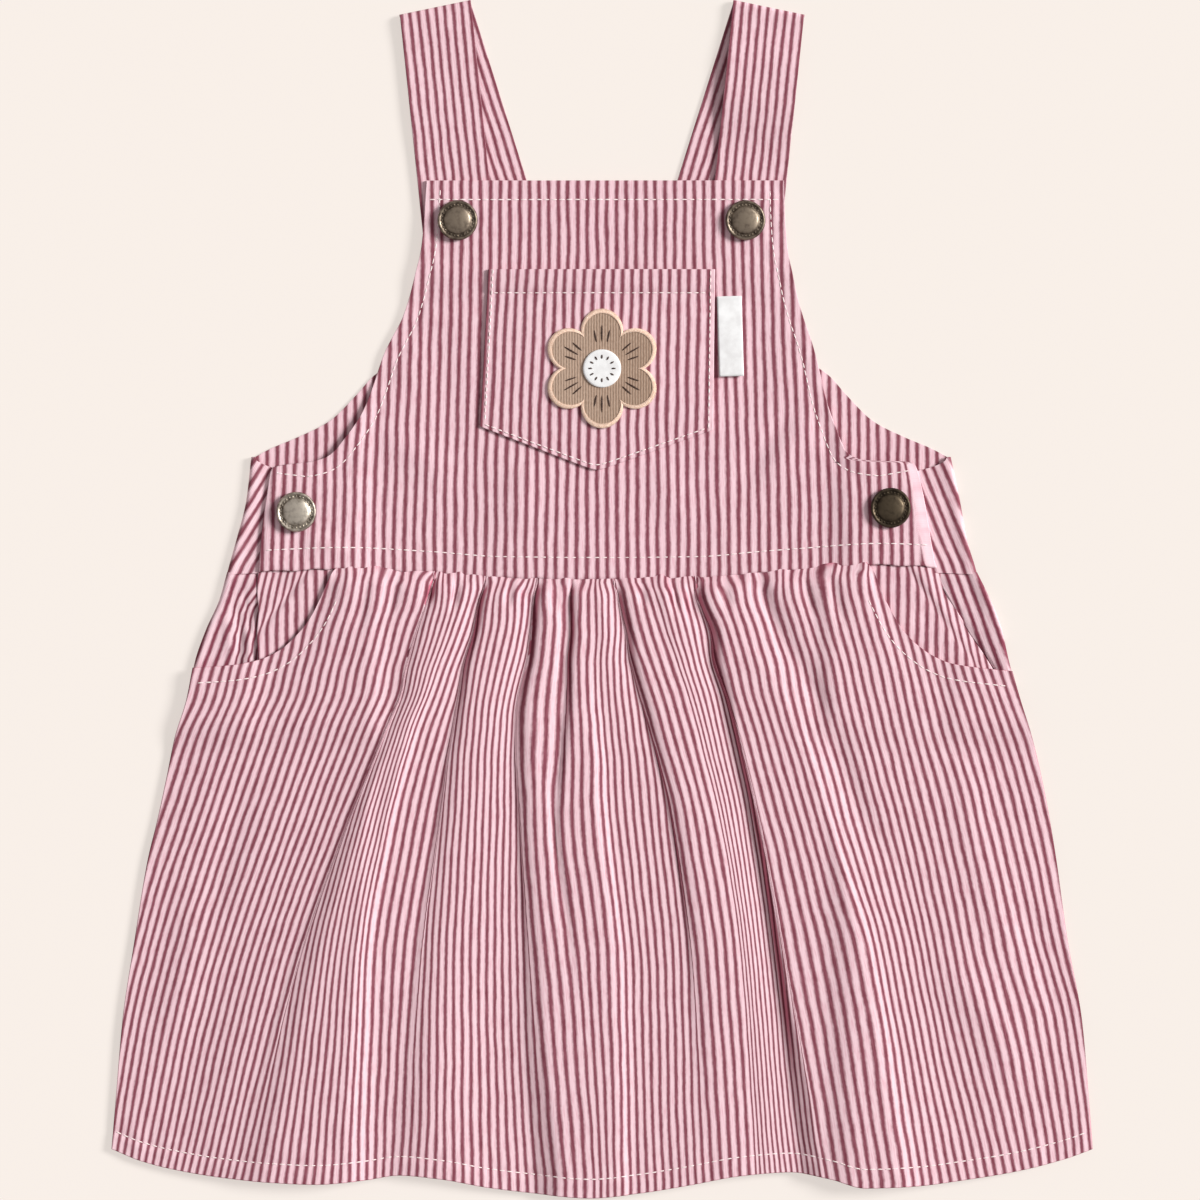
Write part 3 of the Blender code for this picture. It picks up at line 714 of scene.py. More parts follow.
class ClothShell:
    """A thin shell of cloth, made of placed grids that are joined where they meet."""

    def __init__(self, name: str) -> None:
        """Start an empty shell.

        Args:
            name: the finished piece's name.
        """
        self.name = name
        self.bm = bmesh.new()
        self.uv = self.bm.loops.layers.uv.new(CLOTH_UV)

    def add_grid(self, across: Array, up: Array, lay: Lay) -> None:
        """Add a grid.

        Args:
            across: shares from 0 to 1 of its lines from left to right.
            up: shares of its lines from bottom to top.
            lay: returns x, y, z and the cloth's u, v, in millimetres, for arrays of shares.
        """
        made = bmesh.ops.create_grid(self.bm, x_segments=len(across) - 1, y_segments=len(up) - 1, size=0.5,
                                     calc_uvs=True)["verts"]
        column = np.array([round((vert.co.x + 0.5) * (len(across) - 1)) for vert in made])
        row = np.array([round((vert.co.y + 0.5) * (len(up) - 1)) for vert in made])
        x, y, z, u, v = lay(across[column], up[row])
        places = np.stack((x, y, z), 1) * MM
        cloth = {vert: place for vert, place in zip(made, (np.stack((u, v), 1) * MM).tolist())}
        for vert, place in zip(made, places.tolist()):
            vert.co = place
            for loop in vert.link_loops:
                loop[self.uv].uv = cloth[vert]

    def finish(self, material: bpy.types.Material, wall: float = CLOTH) -> bpy.types.Object:
        """Join the grids, give the cloth its wall, and return the object."""
        bmesh.ops.remove_doubles(self.bm, verts=self.bm.verts, dist=0.002 * MM)
        bmesh.ops.recalc_face_normals(self.bm, faces=self.bm.faces)
        piece = link_mesh(self.name, self.bm, material)
        thick = piece.modifiers.new("Wall", "SOLIDIFY")
        thick.thickness = wall * MM
        thick.offset = 0.0
        return piece


@dataclass
class Stitches:
    """Lines of stitches, sewn one by one and joined as one mesh."""

    name: str
    length: float = 2.6
    space: float = 0.55
    width: float = 0.6
    height: float = 0.4
    read_step: float = 0.1
    bars: list[Array] = field(default_factory=list)

    def sew(self, path: Array, top: Surface) -> None:
        """Sew along a path.

        Args:
            path: points (x, y) in millimetres.
            top: height of the cloth's upper face at each point.
        """
        at = along_path(path, self.read_step)
        step = max(1, round((self.length + self.space) / self.read_step))
        reach = round(self.length / self.read_step)
        starts = np.arange(0, len(at) - reach, step)
        ends = [np.column_stack((p, top(p[:, 0], p[:, 1]))) for p in (at[starts], at[starts + reach])]
        self.lay_bars(ends[0], ends[1])

    def lay_bars(self, first: Array, last: Array) -> None:
        """Lay one stitch between each pair of points (x, y, z)."""
        self.bars.append(np.stack((first, last), 1))

    def finish(self, material: bpy.types.Material) -> bpy.types.Object:
        """Copy one small rounded bar to each stitch, and return them all as one object."""
        template = bmesh.new()
        bmesh.ops.create_uvsphere(template, u_segments=6, v_segments=4, radius=1.0)
        shape = np.array([vert.co[:] for vert in template.verts])
        faces = [[vert.index for vert in face.verts] for face in template.faces]
        template.free()
        bars = np.concatenate(self.bars)
        mid = bars.mean(axis=1)
        along = bars[:, 1] - bars[:, 0]
        half = np.linalg.norm(along, axis=1)[:, None] / 2
        along /= 2 * half
        aside = np.cross((0.0, 0.0, 1.0), along)
        aside /= np.linalg.norm(aside, axis=1)[:, None]
        up = np.cross(along, aside)
        verts = (mid[:, None] + shape[None, :, 2:3] * (along * half)[:, None]
                 + shape[None, :, 0:1] * aside[:, None] * (self.width / 2)
                 + shape[None, :, 1:2] * up[:, None] * (self.height / 2))
        count = len(shape)
        mesh = bpy.data.meshes.new(self.name)
        mesh.from_pydata((verts.reshape(-1, 3) * MM).tolist(), [],
                         [[index + k * count for index in face] for k in range(len(bars)) for face in faces])
        return link_data(self.name, mesh, material)


# --- the form that the pieces share -------------------------------------------------------------
class LaidCloth:
    """Cloth that lies on the dress. Each piece of it gives the height of its own middle."""

    def mid(self, x: Array, y: Array) -> Array:
        """Return the height of the cloth's middle."""
        raise NotImplementedError

    def top(self, x: Array, y: Array) -> Array:
        """Return the height of the cloth's upper face."""
        return self.mid(x, y) + CLOTH / 2


class DressForm:
    """The outline of the dress and the levels of its layers.

    Each pair holds the two places between which a layer rises onto another.
    """

    BIB_ONTO_FLAP = (92.0, 106.0)
    BIB_ONTO_STRAP = (STRAP_FRONT_END_Y - 19.0, STRAP_FRONT_END_Y - 3.0)
    SKIRT_ONTO_FACING = (88.0, 98.0)
    SKIRT_ONTO_HIP_FLAP = (140.0, 152.0)
    SKIRT_UP_TO_HIP = (-66.0, -50.0)

    def __init__(self) -> None:
        """Turn the tables into curves."""
        self.skirt_left, self.skirt_right = side_curves(SKIRT_SIDES)
        self.back_left, self.back_right = side_curves(BACK_SIDES)
        self.hem_y = edge_curve(HEM)
        self.waist_y = edge_curve(WAIST)
        self.armhole_y = edge_curve(BACK_ARMHOLE)
        waist = [Point(x, float(self.waist_y(x)) - GAP) for x in WAIST_POINTS]
        self.skirt_top_y = edge_curve(MOUTH_LEFT + waist + MOUTH_RIGHT)

    def bib_level(self, x: Array, y: Array) -> Array:
        """Return the bib's middle: a layer over the back, and higher over the flaps and strap ends."""
        over_flap = ramp(np.abs(x), *self.BIB_ONTO_FLAP)
        over_strap = ramp(y, *self.BIB_ONTO_STRAP)
        return FLOOR_MID + LAYER + LAYER * np.maximum(over_flap, over_strap)

    def skirt_level(self, x: Array, y: Array) -> Array:
        """Return the front skirt's middle before its folds: higher over the facings and hip flaps."""
        over_facing = LAYER * ramp(np.abs(x), *self.SKIRT_ONTO_FACING)
        over_hip_fold = (2 * FLAP_FOLD_R - LAYER + 0.2) * ramp(np.abs(x), *self.SKIRT_ONTO_HIP_FLAP)
        return FLOOR_MID + LAYER + (over_facing + over_hip_fold) * ramp(y, *self.SKIRT_UP_TO_HIP)


# --- front skirt --------------------------------------------------------------------------------
@dataclass
class FrontSkirt(LaidCloth):
    """The gathered front skirt, with its long folds, cut-away pocket mouths and stitched hem."""

    form: DressForm
    finishes: Finishes
    columns: int = 326
    rows: int = 140
    gather_drop: float = 8.0
    gather_fade: float = 95.0
    gather_sway: float = 3.8
    pucker_sway: float = 2.6
    waist_puff: float = 2.9
    tuck: float = 2.4
    crease_width: float = 0.24
    tucked: SmoothCurve = field(default_factory=lambda: SmoothCurve(
        (-245, -223, -152, -93, -43, 5), (0.0, 0.03, 0.28, 0.46, 0.6, 0.8)))
    hem_turn: float = 8.0
    mouth_turn: float = 6.5
    hem_ends: tuple[float, float] = (-205.8, 205.8)
    top_ends: tuple[float, float] = (-171.0, 172.4)
    mouth_seams: tuple[tuple[float, float], ...] = ((-170.0, -117.0), (117.5, 171.4))
    seam_ends: tuple[float, float] = (110.0, 114.0)
    tuck_ends: tuple[float, float] = (109.5, 112.0)
    lane: float = 60.0
    step_x: float = 0.5
    step_y: float = 2.0
    creases: tuple[Crease, ...] = tuple(Crease(*row) for row in (
        (64, 10, 99, -58, -1.0, 9.0, -1.3, 0.02, 0.3), (93, -46, 122, -118, -3.0, 12.0, -1.3, 0.3, 0.5),
        (-71, 10, -74, -4, 0.4, 4.0, -1.5, 0.02), (-61, 9, -63, -6, 0.4, 3.0, -1.4, 0.02),
        (-38, 9, -40, -5, 0.2, 3.0, -1.5, 0.02), (-32, 9, -33, -2, 0.0, 2.6, -1.2, 0.02),
        (-19, 9, -20, -8, 0.2, 3.0, -1.5, 0.02), (16, 9, 18, -4, 0.0, 3.0, -1.4, 0.02),
        (29, 9, 32, -8, -0.2, 3.0, -1.5, 0.02), (37, 9, 38, -12, -0.3, 3.2, -1.2, 0.02),
        (50, 10, 54, -6, -0.3, 3.4, -1.2, 0.02), (84, 12, 89, -10, -0.5, 4.0, -1.2, 0.02),
        (-86, 11, -90, -8, 0.4, 4.0, -1.0, 0.02), (96, 11, 102, -14, -0.6, 5.0, -1.0, 0.02),
        (-98, 11, -104, -18, 0.6, 5.0, -0.8, 0.02), (111, 16, 122, -5, -0.5, 3.2, -1.4, 0.02, 0.35),
        (-170, -110, -186, -205, 3.0, 16.0, 0.7), (-150, -70, -172, -150, 3.0, 14.0, -0.6),
        (150, -60, 176, -160, -4.0, 16.0, 0.7), (138, -150, 176, -214, 8.0, 18.0, 1.0),
        (168, -120, 196, -200, 6.0, 14.0, -0.8),
    ))
    unrest: SoftNoise = own_noise(11, 26.0)
    puckers: SoftNoise = own_noise(12, 4.4)
    seam_puckers: SoftNoise = own_noise(13, 6.5)
    gather_lean: SoftNoise = own_noise(14, 8.0)
    wander: SoftNoise = own_noise(15, 14.0)

    def __post_init__(self) -> None:
        """Work out the folded cloth on an even grid, level by level."""
        placed = self._line_values(("waist", "hip", "high", "mid", "low", "hem"), FOLD_LEVELS)
        lanes = self.lane * np.arange(len(FOLDS))
        self.lines = lambda y: placed(y) + 1.5 * self.wander(lanes, y) * (1.0 - ramp(-y, 10.0, 95.0))
        narrow, wide = self._column("flank_waist"), self._column("flank_hem")
        drop = FOLD_LEVELS[0] - FOLD_LEVELS[-1]
        self.flanks = lambda y: narrow + (wide - narrow) * max(0.0, (FOLD_LEVELS[0] - y) / drop) ** 1.6
        across = np.arange(-235.0, 235.5, self.step_x)
        cuts = np.arange(-260.0, 300.5, self.step_x)
        levels = np.arange(-256.0, 18.0, self.step_y)
        cut_rows, place_rows, height_rows = [], [], []
        for y in levels:
            cut = self._cloth_across(across, float(y))
            cut_rows.append(cut)
            place_rows.append(np.interp(cuts, cut, across))
            height_rows.append(self._fold_profile(across, float(y)))
        self.cut_at, self.x_of, self.fold_at = (
            Raster(start, levels[0], self.step_x, self.step_y, np.array(rows))
            for start, rows in ((across[0], cut_rows), (cuts[0], place_rows), (across[0], height_rows)))

    @staticmethod
    def _column(name: str) -> Array:
        """Return one column of the fold table."""
        return np.array([getattr(fold, name) for fold in FOLDS], float)

    def _line_values(self, names: Sequence[str], levels: Sequence[float]) -> Callable[[float], Array]:
        """Return a function of y with one value for each fold line, from its columns at those levels."""
        table = np.array([self._column(name) for name in names[::-1]])
        curves = [SmoothCurve(levels[::-1], values) for values in table.T]
        return lambda y: np.array([float(curve(y)) for curve in curves])

    def _cloth_across(self, x: Array, y: float) -> Array:
        """Return the cut panel's own coordinate at each x: spare cloth is packed into folds and flanks."""
        lines, widths = self.lines(y), self.flanks(y)
        tucked = float(self.tucked(y))
        shadowed = self._column("right_mid") > self._column("left_mid")

        def packed(at: Array, i: int) -> Array:
            """Return the cloth packed up to a place between two lines: evenly, in flanks and in creases."""
            near = (at - lines[i]) / (lines[i + 1] - lines[i])
            ends = [k for k in (i, i + 1) if shadowed[k]]
            if not ends or i in (0, len(FOLDS) - 2):
                return near
            flank = sum(np.tanh(1.3 * (at - lines[k]) / widths[k]) for k in (i, i + 1)) / 2
            crease = sum(np.tanh((at - lines[k]) / self.crease_width) for k in ends) / len(ends)
            return (1 - tucked) * (0.65 * near + 0.35 * flank) + tucked * crease

        cut = FOLDS[0].cut + x - lines[0]
        for i, (near, far) in enumerate(zip(FOLDS[:-1], FOLDS[1:])):
            room = lines[i + 1] - lines[i]
            spare = far.cut - near.cut - room
            start, end = packed(lines[i], i), packed(lines[i + 1], i)
            share = (packed(x, i) - start) / (end - start) if spare > 0 else (x - lines[i]) / room
            cut = np.where(x >= lines[i], near.cut + (x - lines[i]) + spare * share, cut)
        return np.where(x > lines[-1], FOLDS[-1].cut + x - lines[-1], cut)

    def _fold_profile(self, x: Array, y: float) -> Array:
        """Return the folds' height across the skirt at y, gathers included."""
        lines, widths = self.lines(y), self.flanks(y)
        room = np.diff(lines)
        widths[:-1] = np.minimum(widths[:-1], 0.9 * room)
        widths[1:] = np.minimum(widths[1:], 0.9 * room)
        waist, mid, hem = (-FOLD_LEVELS[i] for i in (0, 3, 5))
        sides = []
        puff = self.waist_puff * (1.0 - 0.85 * ramp(np.abs(self._column("waist")), 60.0, 110.0))
        for side in ("left", "right"):
            start, end = self._column(side + "_mid"), self._column(side + "_hem")
            low = start + (end - start) * ramp(-y, mid, hem)
            sides.append(puff + (low - puff) * ramp(-y, waist, mid))
        left, right = sides
        keys, heights = [float(self.form.skirt_left(y)) - 0.1], [0.0]
        for i in range(1, len(FOLDS) - 1):
            rising = right[i] > left[i]
            spread = float(ramp(-y, 120.0, 215.0))
            start = lines[i] - (0.2 + 0.2 * spread if rising else 0.5) * widths[i]
            share = 0.24 if rising else 0.5
            done = share + ((FOLDS[i].lip or share) - share) * (1.0 - spread)
            keys += [start, start + share * widths[i], start + widths[i]]
            heights += [left[i], left[i] + done * (right[i] - left[i]), right[i]]
        keys.append(float(self.form.skirt_right(y)) + 0.1)
        heights.append(0.0)
        order = np.argsort(keys)
        height = SmoothCurve(np.array(keys)[order], np.array(heights)[order])(x)
        gathers = 1.0 - ramp(self.form.skirt_top_y(x) - y, 0.0, self.gather_fade)
        off = x[None, :] - lines[:, None]
        dips = self._column("dip")[:, None] * bell(off, np.where(off < 0, 2.2, 0.7) * widths[:, None])
        return np.maximum(0.0, height - gathers * dips.max(axis=0))

    def mid(self, x: Array, y: Array) -> Array:
        """Return the height of the cloth's middle."""
        seam = self.form.skirt_top_y(x)
        below = seam - y
        above_hem = y - self.form.hem_y(x)
        at_waist = 1.0 - ramp(np.abs(x), *self.seam_ends)
        cut = self.cut_at(x, y)
        swell = ramp(below, -1.0, self.gather_drop)
        height = self.fold_at(x, y) + relief(self.creases, x, y)
        beside_mouth = 0.45 + 0.55 * ramp(below, 0.0, 24.0)
        height = np.maximum(height, -0.2) * (swell * at_waist + beside_mouth * (1 - at_waist))
        height += 0.5 * self.unrest(cut, y * 0.4) * ramp(below, 4.0, 40.0) * ramp(above_hem, -10.0, 30.0)
        height += 0.6 * self.puckers(cut, y * 0.3) * np.exp(-np.maximum(below, 0.0) / 8.0) * at_waist
        off_stitches = above_hem - self.hem_turn
        height += (0.3 * self.seam_puckers(x, y * 0.3) * bell(off_stitches, 15.0)
                   - 0.22 * bell(off_stitches, 2.4))
        height += 0.2 * (1 - ramp(above_hem, self.hem_turn - 1.5, self.hem_turn - 0.3))
        height += (1 - at_waist) * 0.22 * self.seam_puckers(x, y) * bell(below - self.mouth_turn, 12.0)
        tucked = at_waist * (1.0 - ramp(below, -self.tuck, 0.4))
        level = self.form.skirt_level(x, y) + np.maximum(height, -0.35) - 0.95 * tucked
        return np.minimum(level, self.form.bib_level(x, y) - 0.9 + 5.0 * (1.0 - tucked))

    def build(self) -> None:
        """Build the skirt's shell and its topstitching."""
        form = self.form
        edges = {}
        for name, ends, edge_y in (("hem", self.hem_ends, form.hem_y),
                                   ("top", self.top_ends, form.skirt_top_y)):
            x = np.linspace(*ends, 700)
            y = edge_y(x)
            edges[name] = (self.cut_at(x, y), y)

        def corner(name: str, across: Array | float) -> tuple[Array, Array]:
            """Return the cut coordinate and y on the hem or the top edge."""
            cuts, y = edges[name]
            cut = cuts[0] + np.asarray(across) * (cuts[-1] - cuts[0])
            return cut, np.interp(cut, cuts, y)

        def lay(across: Array, up: Array) -> tuple[Array, ...]:
            """Place the skirt's grid: its lines up follow the cloth, and its sides the outline."""
            hem_cut, low = corner("hem", across)
            top_cut, high = corner("top", across)
            y = low + up * (high - low)
            cut = hem_cut + up * (top_cut - hem_cut)
            x = self.x_of(cut, y)
            for edge, side in ((0.0, form.skirt_left), (1.0, form.skirt_right)):
                near = ramp(1.0 - np.abs(across - edge) / 0.12, 0.0, 1.0)
                foot, head = corner("hem", edge), corner("top", edge)
                edge_y = foot[1] + up * (head[1] - foot[1])
                edge_cut = foot[0] + up * (head[0] - foot[0])
                x += near * (side(edge_y) - self.x_of(edge_cut, edge_y))
            waist = 1.0 - ramp(np.abs(x), *self.tuck_ends)
            drawn = waist * np.exp(-np.maximum(form.skirt_top_y(x) - y, 0.0) / self.gather_drop)
            y = y + self.tuck * waist * ramp(up, 0.985, 1.0)
            lean = self.gather_sway * drawn * self.gather_lean(x, y * 0.5)
            lean += self.pucker_sway * drawn**2 * self.puckers(x * 0.8, y * 0.7)
            return x, y, self.mid(x, y), cut + lean, y

        shell = ClothShell("front_skirt_cloth")
        up = eased(self.rows, 0.0018, ((0.035, 0.04, 1.8), (0.94, 0.12, 1.8)))
        shell.add_grid(eased(self.columns, 0.0009), up, lay)
        skirt = dress(shell.finish(self.finishes.twill_painted_fold_shade), "striped_twill", "front_skirt")

        stitches = Stitches("skirt_topstitching")
        x = np.linspace(-204.0, 204.0, 500)
        stitches.sew(np.column_stack((x, form.hem_y(x) + self.hem_turn)), self.top)
        for ends in self.mouth_seams:
            x = np.linspace(*ends, 120)
            stitches.sew(beside(np.column_stack((x, form.skirt_top_y(x))), self.mouth_turn), self.top)
        dress(stitches.finish(self.finishes.ivory), "thread")


# --- bib ----------------------------------------------------------------------------------------
@dataclass
class Bib(LaidCloth):
    """The bib and its waistband wings, in one cut, with its topstitched edges."""

    form: DressForm
    finishes: Finishes
    columns: int = 210
    rows: int = 132
    top_turn: float = 8.0
    arm_turn: float = 6.0
    waist_turn: float = 8.6
    spread: float = 0.045
    end_stripe: int = 31
    wing_top: tuple[float, float] = (54.0, 60.0)
    creases: tuple[Crease, ...] = tuple(Crease(*row) for row in (
        (-100, 70, -60, 40, 6.0, 16.0, 0.8), (96, 74, 66, 44, -6.0, 16.0, 0.8),
        (85, 86, 50, 40, 1.0, 10.0, -0.7), (-84, 101, -114, 78, 1.0, 9.0, -0.6),
        (-70, 120, -62, 60, 0.0, 18.0, -0.5), (66, 130, 60, 60, 0.0, 20.0, -0.5),
        (-128, 26, -100, 18, 0.0, 7.0, 0.6), (120, 30, 96, 20, 0.0, 7.0, 0.6),
        (-118, 50, -96, 58, 0.0, 8.0, -0.5), (112, 50, 94, 58, 0.0, 8.0, -0.5),
        (-30, 60, -38, 24, 0.0, 14.0, 0.5), (24, 60, 34, 24, 0.0, 14.0, 0.5),
    ))
    unrest: SoftNoise = own_noise(21, 30.0)
    puckers: SoftNoise = own_noise(22, 6.0)

    def __post_init__(self) -> None:
        """Work out the edges and the lines of stitching."""
        first = BIB_ROWS[0]
        left = Point(first.left_x - 0.7, float(self.form.waist_y(first.left_x - 0.7)))
        right = Point(first.right_x + 1.7, float(self.form.waist_y(first.right_x + 1.7)))
        rows = [Row(*left, *right), *BIB_ROWS]
        index = np.arange(len(rows))
        self.edges = [SmoothCurve(index, column) for column in np.array(rows).T]
        share = np.linspace(5.0, len(BIB_ROWS), 400)
        left_edge = np.stack((self.edges[0](share), self.edges[1](share)), 1)
        right_edge = np.stack((self.edges[2](share), self.edges[3](share)), 1)
        self.arm_lines = []
        for edge, turn, start in ((left_edge, self.arm_turn, (-136.5, 52.6)),
                                  (right_edge, -self.arm_turn, (128.5, 53.6))):
            line = beside(edge, turn)
            self.arm_lines.append(np.vstack((start, line[line[:, 1] < BIB_ROWS[-1].left_y - 1.5])))
        x = np.linspace(-141.0, 137.0, 300)
        self.waist_line = np.stack((x, self.form.waist_y(x) + self.waist_turn), 1)
        self.top_line = np.array([(-72.6, BIB_ROWS[-1].left_y - self.top_turn),
                                  (75.2, BIB_ROWS[-1].right_y - self.top_turn)])
        self.lines = [*self.arm_lines, self.waist_line, self.top_line]

    def mid(self, x: Array, y: Array) -> Array:
        """Return the height of the cloth's middle."""
        height = relief(self.creases, x, y) + 0.35 * self.unrest(x, y * 0.7)
        for line in self.lines:
            distance = distance_to(line, x, y)
            height += 0.2 * self.puckers(x, y) * bell(distance, 13.0) - 0.16 * bell(distance, 2.6)
        return self.form.bib_level(x, y) + height

    def build(self) -> None:
        """Build the bib's shell and its topstitching."""
        def lay(across: Array, up: Array) -> tuple[Array, ...]:
            """Place the bib's grid between its two edges, row by row."""
            at = up * len(BIB_ROWS)
            left_x, left_y, right_x, right_y = (edge(at) for edge in self.edges)
            x = left_x + across * (right_x - left_x)
            y = left_y + across * (right_y - left_y)
            low = 1.0 - ramp(at, 0.0, 1.0)
            y = y + low * (self.form.waist_y(x) - y)
            y += 0.5 * self.puckers(x * 1.3, 0.0) * (1.0 - ramp(at, 0.0, 0.5))
            u = x * (1.0 - self.spread * (1.0 - ramp(y, 10.0, 160.0)))
            z = self.mid(x, y) - 0.3 * (1.0 - ramp(at, 0.0, 0.12))
            in_wing = 1.0 - ramp(y, *self.wing_top)
            turned = ramp(x, right_x - 5.6, right_x - 3.2) * in_wing
            u = u + turned * (self.end_stripe * STRIPE_PITCH - u)
            z -= 0.7 * ramp(x, right_x - 4.5, right_x) * in_wing
            z -= 0.4 * (1.0 - ramp(x, left_x, left_x + 2.5)) * in_wing
            return x, y, z, u, y

        shell = ClothShell("bib_cloth")
        shell.add_grid(eased(self.columns, 0.0015), eased(self.rows, 0.0018), lay)
        bib = dress(shell.finish(self.finishes.twill), "striped_twill", "front_bodice")

        stitches = Stitches("bib_topstitching")
        for line in self.lines:
            stitches.sew(line, self.top)
        dress(stitches.finish(self.finishes.ivory), "thread")


# --- back panels --------------------------------------------------------------------------------
@dataclass
class Wrap:
    """How a flat panel's side rolls up and over, and lies inward on the panel."""

    hand: Hand
    run: Callable[[Array], Array]
    fall: float
    lift: float
    slope: float
    narrow: float = 0.92
    settle: float = 5.0
    roll_share: float = 0.2

    def __call__(self, x0: Array, y0: Array, up: Array, height: float, share: Array) -> tuple[Array, ...]:
        """Place the wrapped cloth.

        Args:
            x0: where the flat panel ends, at each point's height.
            y0: that height.
            up: its share of the edge's height.
            height: the edge's height.
            share: how far round the point is: the roll comes first, then the cloth that lies inward.
        """
        turn = np.pi * np.clip(share / self.roll_share, 0.0, 1.0)
        inward = np.clip((share - self.roll_share) / (1 - self.roll_share), 0.0, 1.0)
        run = inward * self.run(y0)
        drop = (2 * FLAP_FOLD_R - LAYER) * ramp(run, 0.0, self.settle)
        x = x0 + self.hand.value * (FLAP_FOLD_R * np.sin(turn) - run)
        y = y0 - self.fall * height * np.sqrt(inward) * up + self.lift * inward * (1 - up)
        z = FLOOR_MID + FLAP_FOLD_R * (1 - np.cos(turn)) - drop
        return x, y, z, (x - self.slope * (y - WAIST_Y)) * self.narrow, y


@dataclass
class BackPanels:
    """The back skirt and the back bodice, flat on the surface, which wrap round both sides."""

    form: DressForm
    finishes: Finishes
    inset: float = FLAP_FOLD_R + HALF_WALL
    unrest: SoftNoise = own_noise(31, 24.0)
    crumple: SoftNoise = own_noise(32, 9.0)
    squash: SoftNoise = own_noise(33, 4.4)
    hip_creases: tuple[Crease, ...] = tuple(Crease(*row) for row in (
        (-160, -2, -154, -30, 0.0, 5.0, 0.7), (-153, 4, -150, -26, 0.0, 4.0, -0.6),
        (160, 2, 166, -28, 0.0, 6.0, 0.5),
    ))

    def build(self) -> None:
        """Build both panels."""
        self._skirt()
        self._bodice()

    def _flat(self, share: Array, y: Array, left: SmoothCurve, right: SmoothCurve) -> tuple[Array, Array]:
        """Return x and z between the rolled sides, at a share of the half width."""
        x = share * (np.where(share > 0, right(y), -left(y)) - self.inset)
        return x, FLOOR_MID + 0.12 * self.unrest(x, y) * ramp(1 - np.abs(share), 0.0, 0.1)

    def _roll_x(self, hand: Hand, y: Array, left: SmoothCurve, right: SmoothCurve) -> Array:
        """Return where a side starts to roll."""
        return hand.value * ((right(y) if hand is Hand.RIGHT else -left(y)) - self.inset)

    def _skirt(self) -> None:
        """Build the back skirt with its two hip flaps."""
        form, top = self.form, WAIST_Y - GAP

        def lay(across: Array, up: Array) -> tuple[Array, ...]:
            """Place the flat panel."""
            share = 2 * across - 1
            low = form.hem_y(share * float(form.skirt_right(SKIRT_SIDES[-1].y))) + 1.5
            y = low + up * (top - low)
            x, z = self._flat(share, y, form.skirt_left, form.skirt_right)
            return x, y, z, x * 1.15, y

        shell = ClothShell("back_skirt_cloth")
        shell.add_grid(np.linspace(0, 1, 101), np.linspace(0, 1, 81), lay)
        for hand, slope, runs in ((Hand.LEFT, 0.36, (25.5, 25.5, 20.5, 17.0, 13.5)),
                                  (Hand.RIGHT, -0.36, (4.0, 6.0, 14.0, 15.6, 17.0))):
            wrap = Wrap(hand, SmoothCurve((HIP_FLAP_END, -28.0, -10.0, 0.0, WAIST_Y), runs), 0.0, 0.0, slope)

            def flap(across: Array, up: Array, wrap: Wrap = wrap) -> tuple[Array, ...]:
                """Place a hip flap, up the panel's side."""
                y0 = HIP_FLAP_END + up * (top - HIP_FLAP_END)
                x0 = self._roll_x(wrap.hand, y0, form.skirt_left, form.skirt_right)
                x, y, z, u, v = wrap(x0, y0, up, top - HIP_FLAP_END, across)
                rise = relief(self.hip_creases, x, y) + 0.35 * self.crumple(x * 1.5, y)
                squashed = ramp(x, -158.0, -153.0) * (1.0 - ramp(y, -6.0, 6.0)) * (x < 0)
                rise += (0.8 * self.squash(x * 2.2, y * 0.6 + x) - 0.5) * squashed
                z = z + rise * ramp(across, 0.2, 0.6) - 0.55 * ramp(across, 0.8, 1.0)
                z -= 0.6 * ramp(y0, top - 2.6, top - 0.4) * ramp(across, 0.2, 0.4)
                lean_over = 0.6 * (x + 155.0) + 0.5 * self.squash(y * 1.4, x * 1.4)
                return x, y, z, u + lean_over * squashed, v

            shell.add_grid(np.linspace(0, 1, 31), np.linspace(0, 1, 41), flap)
        skirt = dress(shell.finish(self.finishes.reverse_twill), "striped_twill", "back_skirt")

    def _bodice(self) -> None:
        """Build the back bodice, with the two sides that underlap the front."""
        form = self.form

        def edge_y(share: Array | float) -> Array:
            """Return the height of the panel's top at a share of its half width."""
            return form.armhole_y(np.abs(share) * float(form.back_left(BACK_SIDES[-1].y)))

        def lay(across: Array, up: Array) -> tuple[Array, ...]:
            """Place the flat panel, from the waist to the armholes and the top edge."""
            share = 2 * across - 1
            y = WAIST_Y + up * (edge_y(share) - WAIST_Y)
            x, z = self._flat(share, y, form.back_left, form.back_right)
            return x, y, z, x, y

        shell = ClothShell("back_bodice_cloth")
        shell.add_grid(np.linspace(0, 1, 141), eased(60, 0.003), lay)
        run = SmoothCurve((WAIST_Y, 60.0), (38.0, 34.0))
        top = float(edge_y(1.0))
        for hand, slope in ((Hand.LEFT, 0.62), (Hand.RIGHT, -0.42)):
            wrap = Wrap(hand, run, 0.2, 1.6, slope)

            def flap(across: Array, up: Array, wrap: Wrap = wrap) -> tuple[Array, ...]:
                """Place a side flap, up the panel's side."""
                y0 = WAIST_Y + up * (top - WAIST_Y)
                x0 = self._roll_x(wrap.hand, y0, form.back_left, form.back_right)
                x, y, z, u, v = wrap(x0, y0, up, top - WAIST_Y, across)
                y = y - 1.1 * ramp(across, 0.02, 0.2) * (1.0 - ramp(up, 0.0, 0.08))
                return x, y, z + 0.2 * self.crumple(x, y) * ramp(across, 0.2, 0.4), u, v

            shell.add_grid(np.linspace(0, 1, 41), eased(60, 0.003), flap)
        bodice = dress(shell.finish(self.finishes.twill), "striped_twill", "back_bodice")


